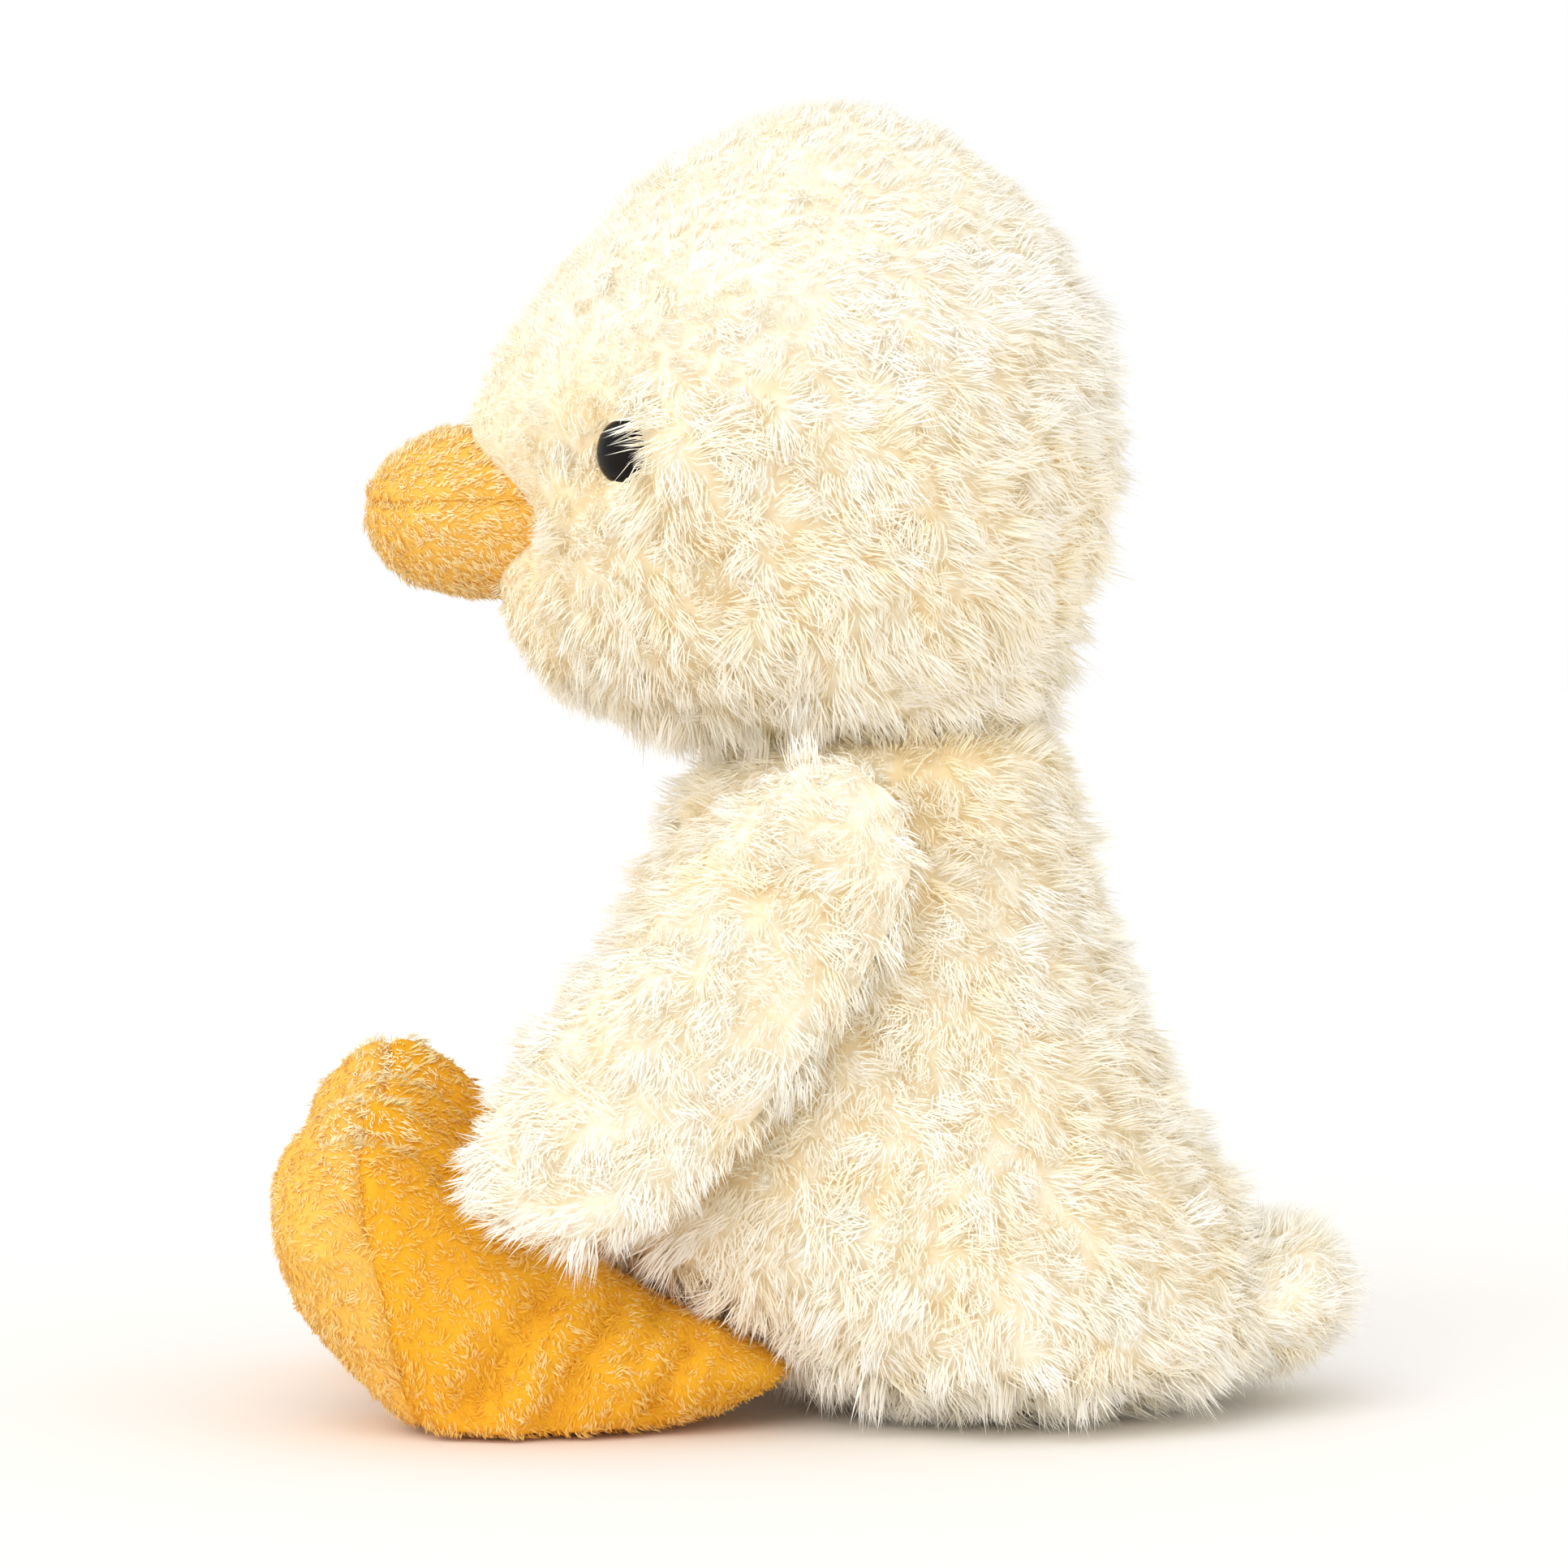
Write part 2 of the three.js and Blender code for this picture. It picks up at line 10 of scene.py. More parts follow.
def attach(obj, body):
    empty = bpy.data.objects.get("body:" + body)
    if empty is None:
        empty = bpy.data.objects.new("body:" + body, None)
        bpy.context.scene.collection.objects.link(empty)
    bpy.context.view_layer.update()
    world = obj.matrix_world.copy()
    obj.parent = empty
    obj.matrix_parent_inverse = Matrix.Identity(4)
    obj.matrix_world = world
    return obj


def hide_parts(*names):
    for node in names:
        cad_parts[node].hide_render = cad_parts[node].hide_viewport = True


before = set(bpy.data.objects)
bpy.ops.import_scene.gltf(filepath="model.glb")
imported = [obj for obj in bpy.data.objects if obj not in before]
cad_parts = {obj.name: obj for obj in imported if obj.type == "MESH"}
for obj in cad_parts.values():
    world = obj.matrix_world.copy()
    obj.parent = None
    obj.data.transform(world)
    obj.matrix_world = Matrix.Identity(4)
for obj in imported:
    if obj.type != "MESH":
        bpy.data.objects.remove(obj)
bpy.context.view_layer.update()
mm = 0.001
sides = ("left", "right")
strandMap = "OFBake"  # the strands' own map: root to tip one way, tint the other
print("frame loaded")

# Forms in millimetres: the CAD's outlines, drawn finer.
# Rows are level, front, back, half width, or level, centre, half upward, half across, side.
bodyForm = {
    "rows": [
        (0, -11, 61, 44), (10, -17, 68, 50), (18, -31, 69, 52), (27, -41, 66.5, 52.5),
        (40, -43, 59, 50), (58, -39, 50, 45), (76, -32.5, 43.5, 39.5), (92, -24, 39, 33.5),
        (104, -19, 37.5, 31.5), (124, -17, 35, 30),
    ],
    "frontBack": True, "squareness": 2.2, "start": 0, "end": 112,
    "startRound": (9, 2.2), "endRound": (14, 2),
}
tailForm = {
    "rows": [(39, 16, 15.5, 34), (63, 16.5, 14.5, 30), (82.6, 18.5, 12.5, 25)],
    "forward": (0, 1, 0), "upward": (0, 0, 1), "start": 39, "end": 82.6, "endRound": (13, 2.3),
}
headForm = {
    "rows": [
        (96.5, 5, 51.5, 50), (112, -5.5, 51.5, 50), (146, -6.2, 51.5, 50),
        (178, -1.6, 51.5, 50), (200.5, -0.5, 51.5, 50),
    ],
    "start": 96.5, "end": 200.5, "startRound": (49.5, 2.6), "endRound": (54.5, 1.75),
}
beakForm = {
    "rows": [(34, -0.4, 13.8, 15.5), (60, -0.4, 13.8, 15.5), (72.7, -0.4, 13.8, 15.5)],
    "origin": (0, 0, 137.3), "forward": (0, -1, 0), "upward": (0, 0, 1),
    "start": 36, "end": 72.7, "endRound": (17.5, 2.0),
}
wingSlope = math.radians(49.4)
wingForm = {
    "rows": [
        (0, -3.5, 13.5, 4.8, 36.5), (25, -5.6, 17.3, 7.4, 44.5), (45, -6.7, 17.3, 8, 50),
        (60, -6.6, 17.2, 7.8, 53.5), (76, -4.6, 15.8, 7, 56), (88, -2, 13, 6, 57),
    ],
    "origin": (0, 5, 101), "forward": (0, -math.cos(wingSlope), -math.sin(wingSlope)),
    "upward": (0, -math.sin(wingSlope), math.cos(wingSlope)),
    "start": 0, "end": 88, "startRound": (14, 2), "endRound": (21, 2.2),
}
footForm = {
    "rows": [
        (0, -63, -25, 15), (4, -68.5, -13, 17), (9, -73.5, -6.5, 18.5), (15, -78.2, -14, 20),
        (21, -81.6, -28, 21), (28, -84, -40, 21.8), (35, -84.6, -47.5, 22),
        (42, -83, -54, 21.5), (51, -77.5, -62.5, 21),
    ],
    "frontBack": True, "origin": (28, 0, 0), "squareness": 2.5, "taper": 0.24,
    "start": 0, "end": 51, "startRound": (1.6, 2.5), "endRound": (9, 2.6),
}


def within(value):
    return min(max(value, 0), 1)


def eased(t):
    return t * t * (3 - 2 * t)


# 1 in the middle, fading evenly to both sides; each part is a distance over a width
def bell(*parts):
    return math.exp(-sum(part ** 2 for part in parts))


# The same for arrays
def bells(*parts):
    return np.exp(-sum(part ** 2 for part in parts))


# Side, centre, half across and half upward of a form at a level
def measuresAt(form, level):
    rows = np.array(form["rows"], float)
    last = len(rows) - 1
    row = 0
    while row < last - 1 and level > rows[row + 1, 0]:
        row += 1
    before, low, high = rows[max(row - 1, 0)], rows[row], rows[row + 1]
    after = rows[min(row + 2, last)]
    span = high[0] - low[0]
    lowSlope = (high - before) / (high[0] - before[0])
    highSlope = (after - low) / (after[0] - low[0])
    t = within((level - low[0]) / span)
    found = low * (1 - eased(t)) + high * eased(t)
    found = found + span * (t * (1 - t) ** 2 * lowSlope - t * t * (1 - t) * highSlope)
    side = found[4] if len(found) > 4 else 0.0
    if form.get("frontBack"):
        return side, (found[1] + found[2]) / 2, found[3], (found[2] - found[1]) / 2
    return side, found[1], found[3], found[2]


# How far a round end has opened at a distance from its pole
def opening(distance, length, roundness):
    if distance >= length:
        return 1.0
    return (1 - (1 - max(distance, 0) / length) ** roundness) ** (1 / roundness)


# The same at a level of a form, from both of its ends
def openedAt(form, level):
    wide = 1.0
    if "startRound" in form:
        wide *= opening(level - form["start"], *form["startRound"])
    if "endRound" in form:
        wide *= opening(form["end"] - level, *form["endRound"])
    return wide


# Operators may leave edges and faces in another order each run, so they are put in the
# order of their points
def settle(bm):
    bm.verts.index_update()
    count = len(bm.verts)

    def rank(part):
        points = sorted(vert.index for vert in part.verts)
        return points[0] * count ** 2 + points[1] * count + points[-1]

    bm.edges.sort(key=rank)
    bm.faces.sort(key=rank)


# The same where the points too come in another order
def settleByPlace(bm):
    bm.verts.sort(key=lambda vert: vert.co.z * 1e6 + vert.co.y * 1e3 + vert.co.x)
    settle(bm)


# A stuffed form: a ring of so many points around is drawn out along it, then both ends are closed
def loft(form, inset=0.0, around=64, rings=40, shapeOf=None):
    origin = Vector(form.get("origin", (0, 0, 0)))
    forward = Vector(form.get("forward", (0, 0, 1)))
    upward = Vector(form.get("upward", (0, 1, 0)))
    across = Vector((1, 0, 0))
    start, end = form["start"], form["end"]
    squareness, taper = form.get("squareness", 2), form.get("taper", 0)
    poleGap = 0.35  # from a round end's pole to its first ring, in ring steps
    leastShare = 0.2  # an inset leaves at least this share of a ring's size
    slopeReach = (end - start) / 2000

    def meanRadius(level):
        _, _, halfAcross, halfUpward = measuresAt(form, level)
        return openedAt(form, level) * (halfAcross + halfUpward) / 2

    bm = bmesh.new()
    turnLayer = bm.verts.layers.float.new("turn")
    bmesh.ops.create_circle(bm, cap_ends=False, radius=1, segments=around)
    for vert in bm.verts:
        vert[turnLayer] = math.atan2(vert.co.y, vert.co.x)
    ring = list(bm.verts)
    first = list(bm.edges)
    edges = first
    startGap, endGap = (poleGap if rounded in form else 0 for rounded in ("startRound", "endRound"))
    for step in range(rings):
        share = (step + startGap) / (rings - 1 + startGap + endGap)
        level = start + (end - start) * (1 - math.cos(math.pi * share)) / 2
        if step:
            made = bmesh.ops.extrude_edge_only(bm, edges=edges)["geom"]
            ring = [g for g in made if isinstance(g, bmesh.types.BMVert)]
            held = set(ring)
            edges = [g for g in made if isinstance(g, bmesh.types.BMEdge)
                     and g.verts[0] in held and g.verts[1] in held]
        low, high = max(level - slopeReach, start), min(level + slopeReach, end)
        slope = (meanRadius(high) - meanRadius(low)) / (high - low)
        steep = math.hypot(1, slope)
        side, centre, halfAcross, halfUpward = measuresAt(form, level)
        place = level + inset * slope / steep
        wide = openedAt(form, level)
        halfAcross, halfUpward = (max(half * wide - inset / steep, leastShare * half * wide)
                                  for half in (halfAcross, halfUpward))
        for vert in ring:
            turn = vert[turnLayer]
            cos = math.copysign(abs(math.cos(turn)) ** (2 / squareness), math.cos(turn))
            sin = math.copysign(abs(math.sin(turn)) ** (2 / squareness), math.sin(turn))
            x = side + halfAcross * cos * (1 - taper * sin)
            point = origin + forward * place + across * x + upward * (centre + halfUpward * sin)
            vert.co = shapeOf(point) if shapeOf else point
    for rim in (first, edges):
        face = bmesh.ops.edgeloop_fill(bm, edges=rim)["faces"]
        bmesh.ops.poke(bm, faces=face)
    settle(bm)
    bmesh.ops.recalc_face_normals(bm, faces=bm.faces)
    return bm


# A mesh's own normals, which come out the same in every run
def normalsOf(bm):
    mesh = bpy.data.meshes.new("measure")
    bm.to_mesh(mesh)
    normals = [Vector(normal.vector) for normal in mesh.vertex_normals]
    bpy.data.meshes.remove(mesh)
    return normals


# Moves the points of a form that is still in millimetres along their normals
def carve(bm, depthAt):
    for vert, normal in zip(bm.verts, normalsOf(bm)):
        vert.co += normal * depthAt(vert.co, normal)


# Where the fur is shorter its ground stands nearer to the toy's outside
def raiseGround(bm, lengthOf, reach):
    rises = reach * (1 - lengthOf(np.array([v.co for v in bm.verts]) * mm))
    for vert, normal, rise in zip(bm.verts, normalsOf(bm), rises):
        vert.co += normal * rise


# A form in millimetres becomes a smooth mesh in metres
def meshOf(name, bm, mirrored=False):
    bmesh.ops.scale(bm, vec=(-mm if mirrored else mm, mm, mm), verts=bm.verts)
    if mirrored:
        bmesh.ops.reverse_faces(bm, faces=bm.faces)
    mesh = bpy.data.meshes.new(name)
    bm.to_mesh(mesh)
    bm.free()
    mesh.polygons.foreach_set("use_smooth", [True] * len(mesh.polygons))
    return mesh


def addObject(name, content):
    added = bpy.data.objects.new(name, content)
    bpy.context.scene.collection.objects.link(added)
    return added


def placePiece(name, mesh, body, look):
    piece = addObject(name, mesh)
    mesh.materials.append(look)
    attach(piece, body)
    return piece


def makePiece(name, bm, body, look, mirrored=False):
    return placePiece(name, meshOf(name, bm, mirrored), body, look)


# Materials
sheenRoughness = 0.5


# Gives inputs of a node a value, a colour of three shares, or another node's output
def feed(tree, node, inputs):
    for socket, given in inputs.items():
        if isinstance(given, bpy.types.NodeSocket):
            tree.links.new(given, node.inputs[socket])
        else:
            node.inputs[socket].default_value = (*given, 1) if isinstance(given, tuple) else given


def addNode(tree, kind, inputs=None, **fields):
    node = tree.nodes.new(f"ShaderNode{kind}")
    for field, value in fields.items():
        setattr(node, field, value)
    feed(tree, node, inputs or {})
    return node


def newMaterial(name, roughness, sheen=0.0, specular=0.2, sheenTint=(1.0, 0.91, 0.74)):
    material = bpy.data.materials.new(name)
    material.use_nodes = True
    tree = material.node_tree
    shader = tree.nodes["Principled BSDF"]
    feed(tree, shader, {"Roughness": roughness, "Sheen Weight": sheen, "Sheen Roughness": sheenRoughness,
                        "Sheen Tint": sheenTint, "Specular IOR Level": specular})
    return material, tree, shader


# A shader node group with named inputs and outputs, and the two nodes that carry them
def newGroup(name, inputs, outputs):
    group = bpy.data.node_groups.new(name, "ShaderNodeTree")
    for direction, sockets in (("INPUT", inputs), ("OUTPUT", outputs)):
        for socket, kind in sockets:
            group.interface.new_socket(socket, in_out=direction, socket_type=f"NodeSocket{kind}")
    return group, group.nodes.new("NodeGroupInput"), group.nodes.new("NodeGroupOutput")


def mixColours(tree, share, low, high):
    return addNode(tree, "Mix", {"Factor": share, "A": low, "B": high}, data_type="RGBA").outputs["Result"]


def shareBetween(tree, value, low, high):
    return addNode(tree, "MapRange", {"Value": value, "From Min": low, "From Max": high}).outputs["Result"]


# Strand colour: root, middle and tip of a warm and a pale strand, mixed by each strand's tint
strandStops = [f"{kind} {part}" for kind in ("Warm", "Pale") for part in ("root", "middle", "tip")]
middleShare = 0.4  # where the middle colour stands between root and tip


def strandGroup():
    group, given, made = newGroup("strandColour", [(stop, "Color") for stop in strandStops],
                                  [("Colour", "Color")])
    place = addNode(group, "UVMap", uv_map=strandMap)
    parts = addNode(group, "SeparateXYZ", {"Vector": place.outputs["UV"]})
    toMiddle = shareBetween(group, parts.outputs["X"], 0, middleShare)
    toTip = shareBetween(group, parts.outputs["X"], middleShare, 1)
    kinds = []
    for kind in ("Warm", "Pale"):
        root, middle, tip = (given.outputs[f"{kind} {part}"] for part in ("root", "middle", "tip"))
        kinds.append(mixColours(group, toTip, mixColours(group, toMiddle, root, middle), tip))
    feed(group, made, {"Colour": mixColours(group, parts.outputs["Y"], *kinds)})
    return group


# Cloth: a fine grain that mottles between two colours and stands up a little
grainSettings = {"detail": 4, "low": 0.15, "high": 0.85, "height": 0.4, "tintedSpread": 0.5,
                 "tintShift": 0.25}


def clothGroup():
    numbers = ("Scale", "Shift", "Spread", "Relief")
    sockets = [("Dark", "Color"), ("Light", "Color"), *((name, "Float") for name in numbers)]
    group, given, made = newGroup("clothGrain", sockets, [("Colour", "Color"), ("Normal", "Vector")])
    scale, shift, spread, relief = (given.outputs[name] for name in numbers)
    place = addNode(group, "TexCoord").outputs["Object"]
    grain = addNode(group, "TexNoise", {"Vector": place, "Scale": scale, "Detail": grainSettings["detail"]})
    grain = grain.outputs["Fac"]
    mottle = addNode(group, "Math", {0: grain, 1: spread, 2: shift}, operation="MULTIPLY_ADD")
    share = shareBetween(group, mottle.outputs["Value"], grainSettings["low"], grainSettings["high"])
    height = grainSettings["height"] * mm
    raised = addNode(group, "Bump", {"Distance": height, "Strength": relief, "Height": grain})
    feed(group, made, {"Colour": mixColours(group, share, given.outputs["Dark"], given.outputs["Light"]),
                       "Normal": raised.outputs["Normal"]})
    return group


strandColour, clothGrain = strandGroup(), clothGroup()


def strandMaterial(name, colours, roughness=0.9, sheen=0.5, sheenTint=(1.0, 0.93, 0.80)):
    material, tree, shader = newMaterial(name, roughness, sheen, sheenTint=sheenTint)
    node = addNode(tree, "Group", dict(zip(strandStops, colours)), node_tree=strandColour)
    feed(tree, shader, {"Base Color": node.outputs["Colour"]})
    return material


# A tinted cloth follows the tint that the fur leaves on its ground, its painted shade between the tufts
# included
def clothMaterial(name, dark, light, scale, relief, roughness=0.9, sheen=0.2, tinted=False):
    material, tree, shader = newMaterial(name, roughness, sheen)
    values = {"Dark": dark, "Light": light, "Scale": scale, "Relief": relief, "Shift": 0.0, "Spread": 1.0}
    if tinted:
        tint = addNode(tree, "Attribute", attribute_name="tint").outputs["Fac"]
        shifted = addNode(tree, "Math", {0: tint, 1: grainSettings["tintShift"]}, operation="SUBTRACT")
        values.update({"Shift": shifted.outputs["Value"], "Spread": grainSettings["tintedSpread"]})
    node = addNode(tree, "Group", values, node_tree=clothGrain)
    feed(tree, shader, {"Base Color": node.outputs["Colour"], "Normal": node.outputs["Normal"]})
    return material


# Warm root, middle and tip, then pale root, middle and tip. Roots are darker and warmer than tips: partly the
# fibres' own tone, partly painted shade deep in the pile.
furColours = [(0.96, 0.78, 0.44), (0.97, 0.85, 0.57), (0.975, 0.92, 0.76),
              (0.97, 0.89, 0.70), (0.975, 0.95, 0.88), (0.975, 0.965, 0.94)]
napColours = [(0.86, 0.42, 0.02), (0.88, 0.45, 0.024), (0.90, 0.48, 0.03),
              (0.95, 0.66, 0.18), (0.975, 0.80, 0.38), (0.99, 0.91, 0.62)]
soleColours = [(0.88, 0.51, 0.09), (0.90, 0.54, 0.11), (0.92, 0.58, 0.13),
               (0.95, 0.73, 0.32), (0.97, 0.83, 0.48), (0.99, 0.93, 0.70)]
furLook = strandMaterial("creamFur", furColours)
napLook = strandMaterial("orangeNap", napColours, sheen=0.12, sheenTint=(1.0, 0.7, 0.3))
soleLook = strandMaterial("goldenNap", soleColours, sheen=0.15, sheenTint=(1.0, 0.78, 0.4))
# Each cloth: its dark and light colour, the grain's scale and its relief
backingLook = clothMaterial("furBacking", (0.88, 0.72, 0.45), (0.975, 0.93, 0.80), 900, 0.4,
                            sheen=0.4, tinted=True)
orangeBackingLook = clothMaterial("orangeBacking", (0.78, 0.36, 0.012), (0.88, 0.46, 0.03), 1400, 0.4,
                                  sheen=0)
goldenBackingLook = clothMaterial("goldenBacking", (0.80, 0.42, 0.05), (0.90, 0.55, 0.12), 1400, 0.4,
                                  sheen=0)
fibreLook = clothMaterial("stuffingFibre", (0.80, 0.79, 0.76), (0.93, 0.92, 0.90), 700, 0.8)
bagLook = clothMaterial("pelletBagCloth", (0.62, 0.57, 0.48), (0.78, 0.73, 0.64), 2200, 0.4)
washerLook = clothMaterial("washerPlastic", (0.76, 0.75, 0.72), (0.82, 0.81, 0.79), 500, 0.05,
                           roughness=0.5, sheen=0)


glossSettings = {"roughness": 0.05, "specular": 0.14, "scale": 300, "low": 0.3, "high": 0.7,
                 "dark": (0.003, 0.002, 0.002), "light": (0.007, 0.005, 0.004)}


def glossMaterial():
    s = glossSettings
    material, tree, shader = newMaterial("eyeGloss", s["roughness"], specular=s["specular"])
    place = addNode(tree, "TexCoord").outputs["Object"]
    flow = addNode(tree, "TexNoise", {"Vector": place, "Scale": s["scale"]}).outputs["Fac"]
    share = shareBetween(tree, flow, s["low"], s["high"])
    feed(tree, shader, {"Base Color": mixColours(tree, share, s["dark"], s["light"])})
    return material


eyeLook = glossMaterial()
print("materials made")


def stackOf(kind, field, width, dtype=np.float32):
    found = np.empty(len(kind) * width, dtype)
    kind.foreach_get(field, found)
    return found.reshape(-1, width)


# A mesh's points and its smooth normals there
def surfaceOf(mesh):
    return (stackOf(mesh.vertices, "co", 3).astype(float),
            stackOf(mesh.vertex_normals, "vector", 3).astype(float))


def unit(vectors):
    return vectors / np.maximum(np.linalg.norm(vectors, axis=-1, keepdims=True), 1e-9)


def smooth(values, low, high):
    return eased(((values - low) / (high - low)).clip(0, 1))


def distanceTo(points, place, stretch=(1, 1, 1)):
    return np.linalg.norm((points / mm - np.array(place)) * np.array(stretch), axis=1)


# Points spread evenly over a piece, so many to a square mm, and its smooth normals there
def scatter(surface, perSquare, rng):
    mesh = surface.data
    mesh.calc_loop_triangles()
    corners = stackOf(mesh.loop_triangles, "vertices", 3, np.int32)
    places, normals = surfaceOf(mesh)
    a, b, c = (places[corners[:, k]] for k in range(3))
    area = np.linalg.norm(np.cross(b - a, c - a), axis=1)
    count = int(area.sum() / 2 / mm ** 2 * perSquare)
    pick = rng.choice(len(area), count, p=area / area.sum())
    s, t = np.sqrt(rng.random(count)), rng.random(count)
    weights = np.stack([1 - s, s * (1 - t), s * t], 1)[:, :, None]
    return (places[corners[pick]] * weights).sum(1), unit((normals[corners[pick]] * weights).sum(1))


def treeOf(places):
    tree = KDTree(len(places))
    for i, place in enumerate(places):
        tree.insert(place, i)
    tree.balance()
    return tree


# Points no nearer to each other than a spacing
def spaced(points, spacing):
    kept, cells = [], {}
    for i, point in enumerate(points):
        cell = tuple(int(x // spacing) for x in point)
        near = (cells.get((cell[0] + x, cell[1] + y, cell[2] + z), ())
                for x in (-1, 0, 1) for y in (-1, 0, 1) for z in (-1, 0, 1))
        if all(((points[j] - point) ** 2).sum() > spacing ** 2 for found in near for j in found):
            cells.setdefault(cell, []).append(i)
            kept.append(i)
    return np.array(kept)


def noiseAt(points, size, seed):
    return np.array([noise.noise(Vector(p) / size + Vector((seed, 0, 0))) for p in points])


def turned(normals, flow, angles):
    along = unit(flow - normals * (flow * normals).sum(1, keepdims=True))
    beside = np.cross(normals, along)
    return along * np.cos(angles)[:, None] + beside * np.sin(angles)[:, None]


# One strand along +Z: a three-sided spindle, widest at its own place
def spindle(widest):
    nearby = 0.01
    bm = bmesh.new()
    bmesh.ops.create_cone(bm, cap_ends=True, segments=3, radius1=1, radius2=0, depth=1 - widest)
    bmesh.ops.translate(bm, vec=(0, 0, (1 + widest) / 2), verts=bm.verts)
    under = [f for f in bm.faces if all(v.co.z < widest + nearby for v in f.verts)]
    for vert in bmesh.ops.poke(bm, faces=under)["verts"]:
        vert.co.z = 0
    bmesh.ops.triangulate(bm, faces=bm.faces)
    bm.verts.index_update()
    places = np.array([v.co for v in bm.verts])
    faces = np.array([[v.index for v in f.verts] for f in bm.faces])
    bm.free()
    return places, faces


# Where the tufts of a base piece stand and how each one lies
def layTufts(base, settings, comb, lengthOf, tintOf, rng):
    s = settings
    spacing = s["tuftSpacing"] * mm
    candidates, facing = scatter(base, s["candidates"] / s["tuftSpacing"] ** 2, rng)
    middles = spaced(candidates, spacing)
    place, facing = candidates[middles], facing[middles]
    swirl = noiseAt(place, s["swirlSize"] * mm, s["seed"]) * s["swirl"]
    swirl += rng.normal(0, s["tuftTurn"], len(place))
    flow = turned(facing, comb(place), swirl)
    longer = lengthOf(place) * (1 + rng.normal(0, s["lengthVaries"], len(place)))
    lean = s["lean"] + rng.normal(0, s["leanVaries"], len(place))
    lean = lean.clip(*s["tuftLeanLimits"])
    mottle = rng.normal(0, s["tintVaries"], len(place))
    patchSeed = s["patchSeed"] + s["seed"]
    mottle += s["patches"] * noiseAt(place, s["patchSize"] * mm, patchSeed)
    tint = tintOf(place) + mottle * np.minimum(longer, 1)
    return {"place": place, "facing": facing, "flow": flow, "longer": longer, "lean": lean,
            "tint": tint, "tree": treeOf(place), "spacing": spacing}


# The tuft that each point belongs to, how high up its mound the point is, and how far
# along and beside the tuft's middle
def tuftOf(points, tufts, settings):
    s = settings
    found = np.array([[hit[1] for hit in tufts["tree"].find_n(point, s["near"])] for point in points])
    away = points[:, None] - tufts["place"][found]
    flow = tufts["flow"][found]
    beside = np.cross(tufts["facing"][found], flow)
    along, aside = (away * flow).sum(2) / tufts["spacing"], (away * beside).sum(2) / tufts["spacing"]
    ahead = along - s["peak"]
    rise = bells(aside / s["halfWidth"], ahead / np.where(ahead > 0, s["front"], s["back"]))
    rise = rise * tufts["longer"][found].clip(*s["riseLimits"])
    best = rise.argmax(1)
    rows = np.arange(len(points))
    return (values[rows, best] for values in (found, rise, along, aside))


# The fur's ground rises under each tuft and takes the tuft's tint, painted darker low between the mounds as
# painted shade and paler on their tops as painted light
def raiseMounds(base, tufts, settings):
    s = settings
    mesh = base.data
    places, normals = surfaceOf(mesh)
    own, rise, _, _ = tuftOf(places, tufts, s)
    lifted = places + normals * (rise * s["mound"] * mm)[:, None]
    lifted[:, 2] = np.where(places[:, 2] < s["flatBelow"] * mm, places[:, 2], lifted[:, 2])
    mesh.vertices.foreach_set("co", lifted.astype(np.float32).reshape(-1))
    # Painted shade low between mounds, painted light on their tops
    tint = (tufts["tint"][own] + s["groundTint"] * (rise - s["groundLevel"])).clip(0, 1)
    layer = mesh.attributes.get("tint") or mesh.attributes.new("tint", "FLOAT", "POINT")
    layer.data.foreach_set("value", tint.astype(np.float32))
    mesh.update()


# Tip and middle of a strand that leans over more and more
def bent(place, normal, along, lean, length):
    for share in (1.0, 0.5):
        part = (lean * (0.5 + 0.5 * share))[:, None]
        yield place + (length * share)[:, None] * (normal * np.cos(part) + along * np.sin(part))


def evenly(value):
    return lambda points: np.full(len(points), value)


